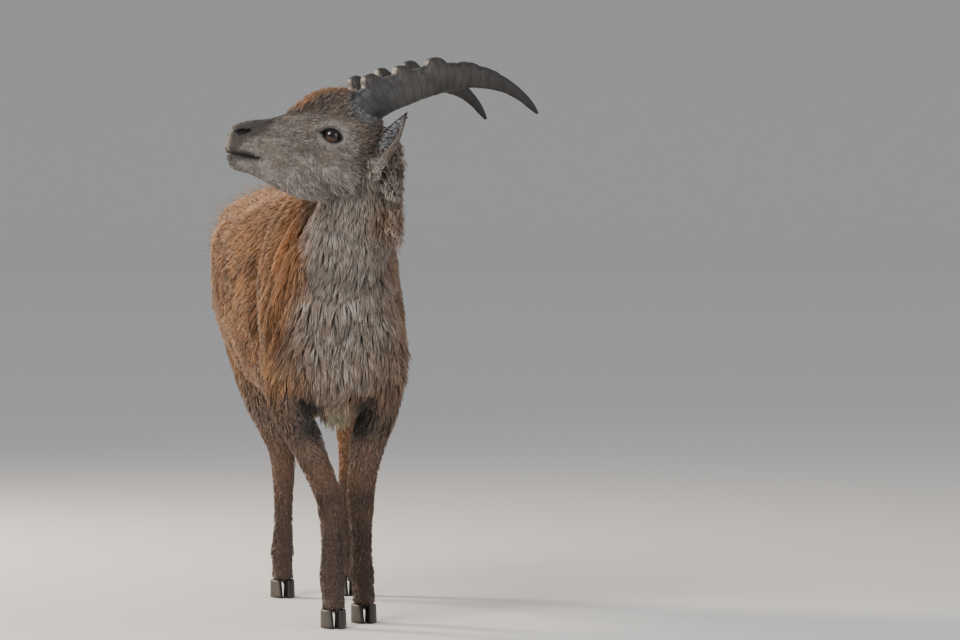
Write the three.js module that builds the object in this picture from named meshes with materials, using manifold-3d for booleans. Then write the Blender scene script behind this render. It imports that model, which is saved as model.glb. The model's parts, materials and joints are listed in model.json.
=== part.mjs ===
// A young male alpine ibex, standing at life size, with its head turned to its right.
// Millimetres, +Z up. The animal faces -Y, so its right side is -X and its left side is +X.
import * as THREE from "three";
import { mergeVertices } from "three/addons/utils/BufferGeometryUtils.js";
import Module from "manifold-3d";

const wasm = await Module();
wasm.setup();

const GAP = 0.35; // left between nodes that touch
const looks = {
  torso: { color: 0xa67a4e, roughness: 0.95 },
  neck: { color: 0x857465, roughness: 0.95 },
  head: { color: 0x7b6d61, roughness: 0.9 },
  tail: { color: 0x5a4433, roughness: 0.95 },
  foreleg: { color: 0x55463a, roughness: 0.9 },
  hindleg: { color: 0x6a543f, roughness: 0.9 },
  ear: { color: 0x84786d, roughness: 0.9 },
  eye: { color: 0x5e3614, roughness: 0.15 },
  horn: { color: 0x625c55, roughness: 0.6 },
  hoof: { color: 0x2f2b28, roughness: 0.55 },
};

// Seeded random numbers from 0 to 1, the same on every run.
function seeded(seed) {
  let state = seed;
  return () => {
    state = (state + 0x6d2b79f5) | 0;
    let t = Math.imul(state ^ (state >>> 15), 1 | state);
    t = (t + Math.imul(t ^ (t >>> 7), 61 | t)) ^ t;
    return ((t ^ (t >>> 14)) >>> 0) / 4294967296;
  };
}

const vec = (x, y, z) => new THREE.Vector3(x, y, z);

// Sections

// A section is a ring round a centre: side and up are its axes, half its half-width along side,
// top and low its reach along up and against it. flat above 2 squares the ring, below 2 points it.
function ringPoint(section, angle, grow) {
  const { centre, side, up, half, top, low, flatTop = 2, flatLow = 2 } = section;
  const c = Math.cos(angle);
  const s = Math.sin(angle);
  const power = 2 / (s >= 0 ? flatTop : flatLow);
  const across = Math.sign(c) * Math.abs(c) ** power * (half + grow);
  const along = Math.abs(s) ** power * (s >= 0 ? top + grow : -(low + grow));
  return centre.clone().addScaledVector(side, across).addScaledVector(up, along);
}

// Catmull-Rom value between b and c of four values in a row.
function between(a, b, c, d, t) {
  const smooth = (c - a) * t + (2 * a - 5 * b + 4 * c - d) * t * t + (3 * b - a - 3 * c + d) * t ** 3;
  return b + smooth / 2;
}

// The section at s, from 0 at the first of keys to keys.length - 1 at the last.
function sectionAt(keys, s) {
  const last = keys.length - 1;
  const i = Math.min(Math.floor(s), last - 1);
  const t = s - i;
  const around = [keys[Math.max(i - 1, 0)], keys[i], keys[i + 1], keys[Math.min(i + 2, last)]];
  const number = (name, unset) => between(...around.map((k) => k[name] ?? unset), t);
  const point = (name) =>
    vec(...["x", "y", "z"].map((axis) => between(...around.map((k) => k[name][axis]), t)));
  const up = point("up").normalize();
  const side = point("side");
  side.addScaledVector(up, -side.dot(up)).normalize();
  const positive = (name) => Math.max(number(name), 0.5);
  return {
    centre: point("centre"), side, up,
    half: positive("half"), top: positive("top"), low: positive("low"),
    flatTop: number("flatTop", 2), flatLow: number("flatLow", 2),
  };
}

// A solid from triangles given as rings of equal count, closed by a fan at each end.
function ringsToSolid(rings) {
  const around = rings[0].length;
  const positions = rings.flat();
  const faces = [];
  for (let i = 0; i + 1 < rings.length; i++) {
    for (let j = 0; j < around; j++) {
      const a = i * around + j;
      const b = i * around + ((j + 1) % around);
      faces.push([a, b, b + around], [a, b + around, a + around]);
    }
  }
  const middle = (ring) => ring.reduce((sum, p) => sum.add(p), vec(0, 0, 0)).divideScalar(around);
  const first = positions.push(middle(rings[0])) - 1;
  const end = positions.push(middle(rings.at(-1))) - 1;
  const start = (rings.length - 1) * around;
  for (let j = 0; j < around; j++) {
    const next = (j + 1) % around;
    faces.push([first, next, j], [end, start + j, start + next]);
  }
  return solidOf(positions, faces);
}

function solidOf(positions, faces) {
  const make = (triangles) =>
    new wasm.Manifold(
      new wasm.Mesh({
        numProp: 3,
        vertProperties: new Float32Array(positions.flatMap((p) => [p.x, p.y, p.z])),
        triVerts: new Uint32Array(triangles.flat()),
      }),
    );
  const solid = make(faces);
  return solid.volume() > 0 ? solid : make(faces.map(([a, b, c]) => [a, c, b]));
}

// A closed body through the keys. grow moves its surface out, to cut clearance into a neighbour.
function loft(keys, steps, around, grow = 0) {
  const rings = [];
  const last = keys.length - 1;
  for (let i = 0; i <= steps; i++) {
    const section = sectionAt(keys, (i / steps) * last);
    rings.push(
      Array.from({ length: around }, (_, j) => ringPoint(section, (2 * Math.PI * j) / around, grow)),
    );
  }
  return ringsToSolid(rings);
}

// A point and outward normal of a loft at section s and ring angle, in radians.
function onLoft(keys, s, angle) {
  const last = keys.length - 1;
  const step = 0.02;
  const at = (u, a) => ringPoint(sectionAt(keys, Math.min(Math.max(u, 0), last)), a, 0);
  const point = at(s, angle);
  const along = at(Math.min(s + step, last), angle).sub(at(Math.max(s - step, 0), angle));
  const round = at(s, angle + step).sub(at(s, angle - step));
  const normal = along.cross(round).normalize();
  const outward = point.clone().sub(sectionAt(keys, s).centre);
  return { point, normal: normal.dot(outward) < 0 ? normal.negate() : normal };
}

// A three.js geometry placed by a matrix, as a solid.
function placed(geometry, matrix) {
  const bare = geometry.clone();
  bare.deleteAttribute("normal");
  bare.deleteAttribute("uv");
  const merged = mergeVertices(bare.applyMatrix4(matrix), 1e-3);
  const p = merged.attributes.position;
  const positions = Array.from({ length: p.count }, (_, i) => vec(p.getX(i), p.getY(i), p.getZ(i)));
  const index = Array.from(merged.index.array);
  const faces = [];
  for (let i = 0; i < index.length; i += 3) {
    const face = index.slice(i, i + 3);
    if (new Set(face).size === 3) faces.push(face);
  }
  return solidOf(positions, faces);
}

// A stretched ball: its centre, the directions of its axes and its half sizes along them.
function ball(centre, axes, sizes, detail = 12) {
  const turn = new THREE.Matrix4().makeBasis(...axes).setPosition(centre);
  turn.multiply(new THREE.Matrix4().makeScale(...sizes));
  return placed(new THREE.SphereGeometry(1, detail, Math.round(detail * 0.6)), turn);
}

const unite = (solids) => wasm.Manifold.union(solids);
const largest = (solid) => solid.decompose().reduce((a, b) => (b.volume() > a.volume() ? b : a));

// Locks of hair

// Along a lock, t runs from its root to its tip. wide and thick are shares of its full size, and
// high is its height over the coat: a share of its root's depth below 0, of its lift above.
const lockShape = [
  { t: 0, wide: 0.7, thick: 0.6, high: -1 },
  { t: 0.36, wide: 1, thick: 1, high: -0.3 },
  { t: 0.68, wide: 0.82, thick: 0.85, high: 0.35 },
  { t: 0.9, wide: 0.42, thick: 0.5, high: 0.8 },
];
const ROOT = 8; // how far the root of a lock lies under the coat's surface

// One flat, tapered lock. path(t) gives a point on the coat and the normal there. Its section is a
// low triangle of two edges and a ridge. grow makes it larger all round.
function lock(path, wide, thick, lift, grow = 0) {
  const along = path(0.9).point.sub(path(0.1).point).normalize();
  const rings = lockShape.map((shape) => {
    const { point, normal } = path(shape.t);
    const side = along.clone().cross(normal).normalize();
    const high = shape.high * (shape.high < 0 ? ROOT : lift) - grow;
    const half = (wide / 2) * shape.wide + 5 * grow; // its edges are thin, so they move out further
    point.addScaledVector(normal, high);
    return [
      point.clone().addScaledVector(side, -half),
      point.clone().addScaledVector(side, half),
      point.clone().addScaledVector(normal, thick * shape.thick + 2 * grow),
    ];
  });
  const positions = rings.flat();
  const end = path(1);
  const tip = positions.push(end.point.addScaledVector(end.normal, lift).addScaledVector(along, 3 * grow)) - 1;
  const faces = [[2, 1, 0]];
  for (let i = 0; i < positions.length - 4; i += 3) {
    for (let j = 0; j < 3; j++) {
      const a = i + j;
      const b = i + ((j + 1) % 3);
      faces.push([a, b, b + 3], [a, b + 3, a + 3]);
    }
  }
  faces.push([tip - 3, tip - 2, tip], [tip - 2, tip - 1, tip], [tip - 1, tip - 3, tip]);
  return solidOf(positions, faces);
}

// Rows of locks over a loft, from section first to last and from ring angle low to high. Each runs
// by run sections along the lie. gap is how far apart they stand in a row.
function lockRows(keys, { rows, first, last, low, high, gap, wide, thick, lift, run, seed }, grow) {
  const random = seeded(seed);
  const locks = [];
  for (let row = 0; row < rows; row++) {
    const s = first + ((last - first) * row) / Math.max(rows - 1, 1);
    const [a, b, c] = [low, (low + high) / 2, high].map((angle) => onLoft(keys, s, angle).point);
    const count = Math.max(Math.round((a.distanceTo(b) + b.distanceTo(c)) / gap), 1);
    for (let i = 0; i < count; i++) {
      const angle = low + ((high - low) * (i + 0.5 * (row % 2) + 0.4 * random())) / count;
      const start = s + 0.12 * (random() - 0.5);
      const length = run * (0.8 + 0.4 * random());
      const sway = 0.16 * (random() - 0.5);
      const size = wide * (0.85 + 0.3 * random());
      const off = lift * (0.5 + random());
      locks.push(lock((t) => onLoft(keys, start + length * t, angle + sway * t * t), size, thick, off, grow));
    }
  }
  return locks;
}

// A straight lock that hangs from root, its flat side towards face.
function fringe(root, lie, face, length, wide, thick, grow) {
  const path = (t) => ({ point: root.clone().addScaledVector(lie, length * t), normal: face.clone() });
  return lock(path, wide, thick, 2, grow);
}

// Frame of the head

// The head's own axes: front towards the nose, left towards its left ear, crown towards its top.
const headPlace = vec(-46, -420, 909); // midway between the eyes
const headTurn = THREE.MathUtils.degToRad(76); // from straight ahead, to the animal's right
const headRoll = THREE.MathUtils.degToRad(2.5); // its left side up
const front = vec(-Math.sin(headTurn), -Math.cos(headTurn), 0);
const left = vec(0, 0, 1).cross(front).applyAxisAngle(front, headRoll);
const crown = front.clone().cross(left);
const inHead = (f, l, u) =>
  headPlace.clone().addScaledVector(front, f).addScaledVector(left, l).addScaledVector(crown, u);
const headward = (f, l, u) =>
  vec(0, 0, 0).addScaledVector(front, f).addScaledVector(left, l).addScaledVector(crown, u).normalize();

// Trunk

// Sections from breast to rump: the coat's outline at y, with mid the height of the widest line.
const trunkSizes = [
  { y: -374, x: 2, top: 640, mid: 575, low: 515, half: 24 },
  { y: -362, x: 2, top: 700, mid: 565, low: 452, half: 74 },
  { y: -332, x: 1, top: 764, mid: 558, low: 414, half: 104 },
  { y: -270, x: 0, top: 808, mid: 560, low: 393, half: 122 },
  { y: -180, x: -2, top: 822, mid: 580, low: 386, half: 134 },
  { y: -80, x: -9, top: 810, mid: 610, low: 382, half: 154 },
  { y: 40, x: -15, top: 800, mid: 640, low: 384, half: 171 },
  { y: 150, x: -16, top: 798, mid: 660, low: 396, half: 176 },
  { y: 250, x: -10, top: 802, mid: 668, low: 430, half: 168 },
  { y: 340, x: 0, top: 804, mid: 670, low: 485, half: 148 },
  { y: 420, x: 10, top: 786, mid: 675, low: 545, half: 118 },
  { y: 468, x: 14, top: 750, mid: 680, low: 600, half: 78 },
  { y: 492, x: 14, top: 708, mid: 676, low: 640, half: 24 },
];
const trunkKeys = trunkSizes.map(({ y, x, top, mid, low, half }) => ({
  centre: vec(x, y, mid), side: vec(1, 0, 0), up: vec(0, 0, 1),
  half, top: top - mid, low: mid - low, flatTop: 2.15, flatLow: 2.05,
}));

// Shoulder muscle, from the blade's top edge to the elbow, on side -1 (right) or 1 (left).
const shoulderKeys = (sign) =>
  [
    { x: 40, y: -172, z: 760, half: 14, deep: 34 },
    { x: 58, y: -198, z: 710, half: 42, deep: 78 },
    { x: 68, y: -228, z: 625, half: 54, deep: 98 },
    { x: 76, y: -250, z: 540, half: 55, deep: 98 },
    { x: 83, y: -262, z: 470, half: 49, deep: 82 },
    { x: 84, y: -265, z: 420, half: 34, deep: 56 },
  ].map(({ x, y, z, half, deep }) => ({
    centre: vec(sign * x, y, z), side: vec(1, 0, 0), up: vec(0, -1, 0), half, top: deep, low: deep,
  }));

// The breast under its long hair, from the foot of the neck down to the brisket.
const breastKeys = [
  { x: 10, y: -268, z: 745, half: 66, front: 74 },
  { x: 8, y: -268, z: 700, half: 86, front: 98 },
  { x: 5, y: -270, z: 640, half: 97, front: 110 },
  { x: 3, y: -270, z: 575, half: 102, front: 112 },
  { x: 2, y: -268, z: 510, half: 98, front: 106 },
  { x: 2, y: -264, z: 450, half: 82, front: 90 },
  { x: 2, y: -260, z: 408, half: 52, front: 60 },
].map(({ x, y, z, half, front: ahead }) => ({
  centre: vec(x, y, z), side: vec(1, 0, 0), up: vec(0, -1, 0), half, top: ahead, low: 50, flatTop: 2.2,
}));

// Neck

// From inside the trunk up into the skull. dorsal points to the nape: it turns with the head.
const neckKeys = [
  { at: [0, -180, 640], dorsal: [0, 0.62, 0.78], axis: [0, -0.78, 0.62], half: 90, deep: 152 },
  { at: [6, -268, 668], dorsal: [0.1, 0.7, 0.7], axis: [0.02, -0.7, 0.7], half: 86, deep: 130 },
  { at: [16, -326, 712], dorsal: [0.42, 0.76, 0.5], axis: [0.1, -0.5, 0.84], half: 78, deep: 100 },
  { at: [24, -362, 757], dorsal: [0.82, 0.52, 0.22], axis: [0.05, -0.3, 0.95], half: 66, deep: 76 },
  { at: [27, -384, 806], dorsal: [0.95, 0.28, 0.1], axis: [0, -0.2, 0.98], half: 59, deep: 70 },
  { at: [23, -398, 856], dorsal: [0.96, 0.22, 0.15], axis: [-0.12, -0.15, 0.98], half: 56, deep: 72 },
  { at: [8, -406, 896], dorsal: [0.9, 0.2, 0.35], axis: [-0.4, -0.1, 0.9], half: 48, deep: 60 },
  { at: [-2, -408, 916], dorsal: [0.9, 0.2, 0.35], axis: [-0.4, -0.1, 0.9], half: 20, deep: 24 },
].map(({ at, dorsal, axis, half, deep }) => ({
  centre: vec(...at), up: vec(...dorsal), side: vec(...dorsal).cross(vec(...axis)),
  half, top: deep, low: deep,
}));

// Head

// Sections from the back of the skull to the nose, f ahead of the eyes. mid is the widest height.
const headKeys = [
  { f: -116, top: 22, mid: 0, low: -22, half: 20 },
  { f: -106, top: 46, mid: 0, low: -56, half: 44 },
  { f: -84, top: 64, mid: -2, low: -88, half: 58 },
  { f: -54, top: 74, mid: -4, low: -112, half: 62 },
  { f: -22, top: 76, mid: -6, low: -124, half: 59 },
  { f: 10, top: 67, mid: -8, low: -129, half: 54 },
  { f: 40, top: 47, mid: -12, low: -122, half: 48 },
  { f: 70, top: 31, mid: -18, low: -111, half: 41 },
  { f: 98, top: 25, mid: -22, low: -98, half: 36 },
  { f: 126, top: 23, mid: -24, low: -82, half: 34 },
  { f: 148, top: 17, mid: -25, low: -73, half: 33 },
  { f: 165, top: 4, mid: -27, low: -65, half: 27 },
  { f: 176, top: -17, mid: -32, low: -52, half: 13 },
].map(({ f, top, mid, low, half }) => ({
  centre: inHead(f, 0, mid), side: left, up: crown, half, top: top - mid, low: mid - low,
  flatTop: 2.3, flatLow: 1.8,
}));

const eyeRadius = 17;
const eyePlace = (sign) => inHead(-6, sign * 48, -10);

// Axes of an eye: along its slit, across it, and straight out of the head.
function eyeAxes(sign) {
  const out = headward(0.26, sign, 0.05);
  const level = headward(1, -sign * 0.26, 0.42);
  return [level, out.clone().cross(level).normalize(), out];
}

// The lids and the brow over one eye, as a mound fused to the skull.
function eyeMound(sign) {
  const axes = eyeAxes(sign);
  return unite([
    ball(eyePlace(sign).addScaledVector(axes[2], -5), axes, [31, 25, 25.5], 14),
    ball(inHead(-7, sign * 43, 13), axes, [34, 16, 20], 10),
  ]);
}

// The slit between the lids, pointed at both corners.
function lidSlit(sign) {
  const [level, across, out] = eyeAxes(sign);
  const keys = [6, 18, 30].map((reach) => ({
    centre: eyePlace(sign).addScaledVector(out, reach), side: level, up: across,
    half: 15.5 + reach * 0.12, top: 10.5 + reach * 0.1, low: 10.5 + reach * 0.1, flatTop: 1.7, flatLow: 1.7,
  }));
  return loft(keys, 2, 16);
}

// The line of the mouth: a thin curved slab, less a core that keeps it shallow.
function mouthLine() {
  const lip = new THREE.Shape();
  lip.moveTo(126, -44.5);
  lip.quadraticCurveTo(155, -37, 200, -31);
  lip.lineTo(200, -35);
  lip.quadraticCurveTo(160, -46, 126, -46.5);
  const slab = new THREE.ExtrudeGeometry(lip, { depth: 120, bevelEnabled: false, curveSegments: 4 });
  const place = new THREE.Matrix4().makeBasis(front, crown, left.clone().negate());
  place.setPosition(inHead(0, 60, 0));
  return placed(slab, place).subtract(loft(headKeys, 10, 10, -8));
}

function nostril(sign) {
  const along = headward(1, -sign * 0.5, -0.1);
  const up = headward(0.1, sign * 0.4, 1);
  up.addScaledVector(along, -up.dot(along)).normalize();
  return ball(inHead(156, sign * 26, 1), [along, up, along.clone().cross(up)], [16, 7, 7], 10);
}

// The lips and the pad of the nose stand a little proud of the muzzle.
function lips() {
  const tilted = [headward(1, 0, 0.2), left, headward(-0.2, 0, 1)];
  return [
    ball(inHead(150, 0, -27), tilted, [26, 35, 13], 12),
    ball(inHead(149, 0, -58), tilted, [28, 29, 16], 12),
    ball(inHead(147, 0, 1), [front, left, crown], [19, 25, 16], 10),
  ];
}

function skull(grow) {
  return loft(headKeys, 24, 18, grow);
}

// Horns

// Centre line of the left horn, in the head's axes, with its depth (front to back) and width.
const hornSizes = [
  { f: -65, l: 27, u: 20, deep: 33, wide: 23 },
  { f: -79, l: 32, u: 41, deep: 33, wide: 24 },
  { f: -115, l: 39, u: 63, deep: 32.7, wide: 24 },
  { f: -153, l: 48, u: 76, deep: 30, wide: 22 },
  { f: -194, l: 58, u: 89, deep: 28, wide: 20.5 },
  { f: -232, l: 70, u: 96, deep: 25.5, wide: 18.5 },
  { f: -266, l: 82, u: 97, deep: 22, wide: 16 },
  { f: -298, l: 96, u: 89, deep: 17.4, wide: 13.5 },
  { f: -327, l: 107, u: 76, deep: 12.6, wide: 10.5 },
  { f: -352, l: 116, u: 57, deep: 8.8, wide: 7.8 },
  { f: -366, l: 121, u: 42, deep: 6.6, wide: 6 },
  { f: -378, l: 125, u: 27, deep: 2.6, wide: 2.6 },
];
// Where each knob crosses the front of the horn, as a section number, with how far it stands out.
const knobs = [
  { at: 1.8, high: 17, reach: 0.3 },
  { at: 3.05, high: 14, reach: 0.32 },
  { at: 4.6, high: 13, reach: 0.42 },
  { at: 5.9, high: 2.5, reach: 0.4 },
  { at: 6.9, high: 1.5, reach: 0.4 },
];

function hornKeys(sign) {
  const line = new THREE.CatmullRomCurve3(hornSizes.map(({ f, l, u }) => inHead(f, sign * l, u)));
  return hornSizes.map(({ deep, wide }, i) => {
    const tangent = line.getTangent(i / (hornSizes.length - 1));
    const outward = left.clone().multiplyScalar(sign);
    const ahead = tangent.clone().cross(outward).normalize();
    if (ahead.dot(crown) < 0) ahead.negate();
    return {
      centre: line.points[i], up: ahead, side: outward,
      half: wide, top: deep, low: deep, flatTop: 2.6, flatLow: 1.9,
    };
  });
}

function horn(sign) {
  const keys = hornKeys(sign);
  const around = 10;
  const steps = 44;
  const rings = [];
  for (let i = 0; i <= steps; i++) {
    const s = (i / steps) * (keys.length - 1);
    const section = sectionAt(keys, s);
    const knob = knobs.reduce((sum, { at, high, reach }) => sum + high * Math.exp(-(Math.abs((s - at) / reach) ** 3)), 0);
    rings.push(
      Array.from({ length: around }, (_, j) => {
        const angle = (2 * Math.PI * j) / around;
        const facing = Math.max(Math.sin(angle), 0) ** 0.6;
        return ringPoint(section, angle, 0)
          .addScaledVector(section.up, knob * facing)
          .addScaledVector(section.side, knob * 0.22 * Math.cos(angle) * facing);
      }),
    );
  }
  return ringsToSolid(rings);
}

// Ears

// A cupped leaf: each ring runs round the outside of the cup and back round its inside.
function ear(sign) {
  const root = inHead(-87, sign * 56, -56);
  const tip = inHead(-134, sign * 88, 33);
  const along = tip.clone().sub(root).normalize();
  const length = root.distanceTo(tip);
  const open = headward(0.9, sign * 0.38, 0.15);
  open.addScaledVector(along, -open.dot(along)).normalize();
  const across = along.clone().cross(open).normalize();
  const widths = [12, 19, 23, 24, 23, 20, 15, 9, 2.5];
  const wall = 2.2;
  const arc = THREE.MathUtils.degToRad(105);
  const spread = 6;
  const rings = widths.map((width, i) => {
    const t = i / (widths.length - 1);
    const centre = root.clone().addScaledVector(along, t * length);
    centre.addScaledVector(open, 5 * Math.sin(t * Math.PI));
    const turn = arc * (1 - 0.35 * t);
    const point = (angle, radius) =>
      centre.clone()
        .addScaledVector(across, Math.sin(angle) * radius)
        .addScaledVector(open, -Math.cos(angle) * radius * 0.72);
    const inner = i ? Math.max(width - wall * (1.6 - t), width * 0.45) : 1;
    const outside = Array.from({ length: spread + 1 }, (_, j) => point(turn * (j / spread) * 2 - turn, width));
    const inside = Array.from({ length: spread + 1 }, (_, j) => point(turn - turn * (j / spread) * 2, inner));
    return [...outside, ...inside];
  });
  return ringsToSolid(rings);
}

// Legs

// Each leg runs from inside the trunk to the top of the hoof. half is its sideways reach.
const foreLeg = {
  right: [
    { x: -92, y: -272, z: 505, half: 34, deep: 56 },
    { x: -93, y: -275, z: 452, half: 39, deep: 56 },
    { x: -84, y: -283, z: 400, half: 38, deep: 47 },
    { x: -62, y: -298, z: 345, half: 34, deep: 38 },
    { x: -36, y: -316, z: 285, half: 29.5, deep: 31 },
    { x: -19, y: -330, z: 240, half: 28, deep: 30 },
    { x: -14, y: -333, z: 205, half: 24.5, deep: 25 },
    { x: -12, y: -331, z: 150, half: 21.5, deep: 22 },
    { x: -12, y: -327, z: 108, half: 23, deep: 24 },
    { x: -12, y: -328, z: 88, half: 25.5, deep: 27 },
    { x: -12, y: -340, z: 62, half: 22.5, deep: 23 },
    { x: -12, y: -352, z: 42, half: 24, deep: 27 },
    { x: -12, y: -354, z: 34, half: 23, deep: 26 },
  ],
  left: [
    { x: 92, y: -262, z: 505, half: 34, deep: 56 },
    { x: 94, y: -262, z: 450, half: 38, deep: 56 },
    { x: 84, y: -258, z: 395, half: 37, deep: 47 },
    { x: 66, y: -254, z: 340, half: 34, deep: 38 },
    { x: 56, y: -248, z: 285, half: 29.5, deep: 31 },
    { x: 51, y: -244, z: 238, half: 28, deep: 30 },
    { x: 52, y: -238, z: 203, half: 24.5, deep: 25 },
    { x: 54, y: -226, z: 150, half: 21.5, deep: 22 },
    { x: 56, y: -216, z: 108, half: 23, deep: 24 },
    { x: 57, y: -214, z: 88, half: 25.5, deep: 27 },
    { x: 58, y: -226, z: 62, half: 22.5, deep: 23 },
    { x: 58, y: -238, z: 42, half: 24, deep: 27 },
    { x: 58, y: -240, z: 34, half: 23, deep: 26 },
  ],
};
const hindLeg = {
  right: [
    { x: -50, y: 398, z: 735, half: 30, deep: 60 },
    { x: -72, y: 385, z: 670, half: 58, deep: 108 },
    { x: -84, y: 362, z: 590, half: 60, deep: 120 },
    { x: -86, y: 338, z: 510, half: 56, deep: 104 },
    { x: -80, y: 338, z: 440, half: 47, deep: 74 },
    { x: -62, y: 368, z: 375, half: 38, deep: 54 },
    { x: -38, y: 402, z: 318, half: 29, deep: 39 },
    { x: -22, y: 426, z: 272, half: 25, deep: 35 },
    { x: -19, y: 428, z: 236, half: 23.5, deep: 30 },
    { x: -20, y: 416, z: 180, half: 20, deep: 23 },
    { x: -22, y: 406, z: 120, half: 20.5, deep: 23 },
    { x: -24, y: 401, z: 90, half: 24.5, deep: 27 },
    { x: -25, y: 390, z: 62, half: 22, deep: 23 },
    { x: -26, y: 378, z: 42, half: 23.5, deep: 26 },
    { x: -26, y: 376, z: 34, half: 22.5, deep: 25 },
  ],
  left: [
    { x: 74, y: 398, z: 735, half: 30, deep: 60 },
    { x: 90, y: 388, z: 670, half: 56, deep: 108 },
    { x: 98, y: 368, z: 590, half: 60, deep: 122 },
    { x: 102, y: 346, z: 510, half: 56, deep: 104 },
    { x: 106, y: 346, z: 440, half: 46, deep: 74 },
    { x: 110, y: 376, z: 375, half: 37, deep: 54 },
    { x: 113, y: 410, z: 318, half: 29, deep: 39 },
    { x: 114, y: 434, z: 272, half: 25, deep: 35 },
    { x: 113, y: 440, z: 236, half: 23.5, deep: 30 },
    { x: 110, y: 438, z: 180, half: 20, deep: 23 },
    { x: 108, y: 436, z: 120, half: 20.5, deep: 23 },
    { x: 107, y: 434, z: 90, half: 24.5, deep: 27 },
    { x: 106, y: 424, z: 62, half: 22, deep: 23 },
    { x: 106, y: 412, z: 42, half: 23.5, deep: 26 },
    { x: 106, y: 410, z: 34, half: 22.5, deep: 25 },
  ],
};
const legKeys = (sizes) =>
  sizes.map(({ x, y, z, half, deep }) => ({
    centre: vec(x, y, z), side: vec(1, 0, 0), up: vec(0, -1, 0), half, top: deep, low: deep,
  }));

// Hooves

const clawLength = 64;
const clawHeight = 34;
const clawHalf = 12;

// One claw of a cloven hoof, under the pastern of the leg that ends at foot. side -1 is the right claw.
function claw(foot, side) {
  const split = 13.6;
  const levels = [
    { z: 0, reach: 1, half: 1 },
    { z: 5, reach: 1.01, half: 1.02 },
    { z: clawHeight - GAP, reach: 0.76, half: 0.92 },
  ];
  const heel = foot.y + 26;
  const around = 10;
  const rings = levels.map(({ z, reach, half }) =>
    Array.from({ length: around }, (_, j) => {
      const angle = (2 * Math.PI * j) / around;
      const ahead = (1 - Math.cos(angle)) / 2; // 0 at the heel, 1 at the toe
      const taper = 1 - 0.45 * ahead ** 2;
      const lean = (1 - z / clawHeight) * 3 * ahead;
      return vec(
        foot.x + side * (split - lean * 0.5) + Math.sin(angle) * clawHalf * half * taper,
        heel - ahead * clawLength * reach,
        z,
      );
    }),
  );
  return ringsToSolid(rings);
}

// Tail

const tailKeys = [
  { x: 16, y: 452, z: 742, half: 20, deep: 14 },
  { x: 16, y: 482, z: 733, half: 24, deep: 15 },
  { x: 17, y: 510, z: 706, half: 26, deep: 15 },
  { x: 18, y: 522, z: 668, half: 24, deep: 14 },
  { x: 18, y: 524, z: 634, half: 17, deep: 10 },
  { x: 18, y: 522, z: 612, half: 6, deep: 4 },
].map(({ x, y, z, half, deep }, i, all) => {
  const next = all[Math.min(i + 1, all.length - 1)];
  const last = all[Math.max(i - 1, 0)];
  const run = vec(0, next.y - last.y, next.z - last.z).normalize();
  return { centre: vec(x, y, z), side: vec(1, 0, 0), up: vec(0, -run.z, run.y), half, top: deep, low: deep };
});

// The animal

function trunk(grow) {
  return unite([
    loft(trunkKeys, 24, 22, grow),
    loft(breastKeys, 9, 16, grow),
    loft(shoulderKeys(-1), 8, 12, grow),
    loft(shoulderKeys(1), 8, 12, grow),
  ]);
}

// Long hair down the breast, with a tuft at the brisket.
function breastHair(grow) {
  const random = seeded(31);
  const rows = { rows: 7, first: 0.9, last: 5.1, low: 0.12, high: Math.PI - 0.12, run: 1.4, seed: 5 };
  const locks = lockRows(breastKeys, { ...rows, gap: 36, wide: 39, thick: 10, lift: 9 }, grow);
  for (let i = 0; i < 7; i++) {
    const root = vec(-24 + 9 * i, -318 + 10 * random(), 432 - Math.abs(i - 3) * 3);
    const lie = vec(0.05 * (i - 3), 0.1, -1).normalize();
    locks.push(fringe(root, lie, vec(0.15 * (i - 3), -1, 0).normalize(), 62 - 6 * Math.abs(i - 3), 19, 9, grow));
  }
  return locks;
}

const neck = (grow) => loft(neckKeys, 14, 18, grow);

// Hair hangs all round the neck. Along the nape it stands in close curly clumps instead.
function neckHair(grow) {
  const rows = { rows: 4, first: 4.45, last: 2.35, low: -3.45, high: 0.3, run: -1.5, seed: 11 };
  const locks = lockRows(neckKeys, { ...rows, gap: 38, wide: 42, thick: 9, lift: 8 }, grow);
  const random = seeded(23);
  for (let s = 5.3; s > 2.5; s -= 0.5) {
    for (const angle of s > 4.4 ? [1.2, 1.75] : [0.7, 1.2, 1.75, 2.3]) {
      const { point, normal } = onLoft(neckKeys, s + 0.3 * random(), angle + 0.2 * (random() - 0.5));
      const size = 16 + 4 * random() + grow;
      const level = vec(0, 0, 1).cross(normal).normalize();
      const axes = [level, normal.clone().cross(level), normal];
      locks.push(ball(point, axes, [size * 1.2, size, size * 0.7], 6));
    }
  }
  return locks;
}

// Frizzy hair over the forehead, in short locks that lie back towards the horns.
function foreheadHair() {
  const random = seeded(41);
  const locks = [];
  for (let row = 0; row < 3; row++) {
    for (let i = 0; i < 4; i++) {
      const s = 5.6 - 0.6 * row + 0.2 * random();
      const angle = Math.PI / 2 + (i - 1.5 + 0.5 * (row % 2) - 0.25) * 0.5;
      locks.push(lock((t) => onLoft(headKeys, s - 1.05 * t, angle), 27, 8, 4));
    }
  }
  return locks;
}

function head() {
  let solid = unite([skull(0), eyeMound(-1), eyeMound(1), ...lips(), ...foreheadHair()]);
  solid = solid.subtract(mouthLine());
  for (const sign of [-1, 1]) {
    solid = solid.subtract(nostril(sign)).subtract(lidSlit(sign));
    solid = solid.subtract(ball(eyePlace(sign), [front, left, crown], Array(3).fill(eyeRadius + GAP), 12));
  }
  return solid;
}

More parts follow.
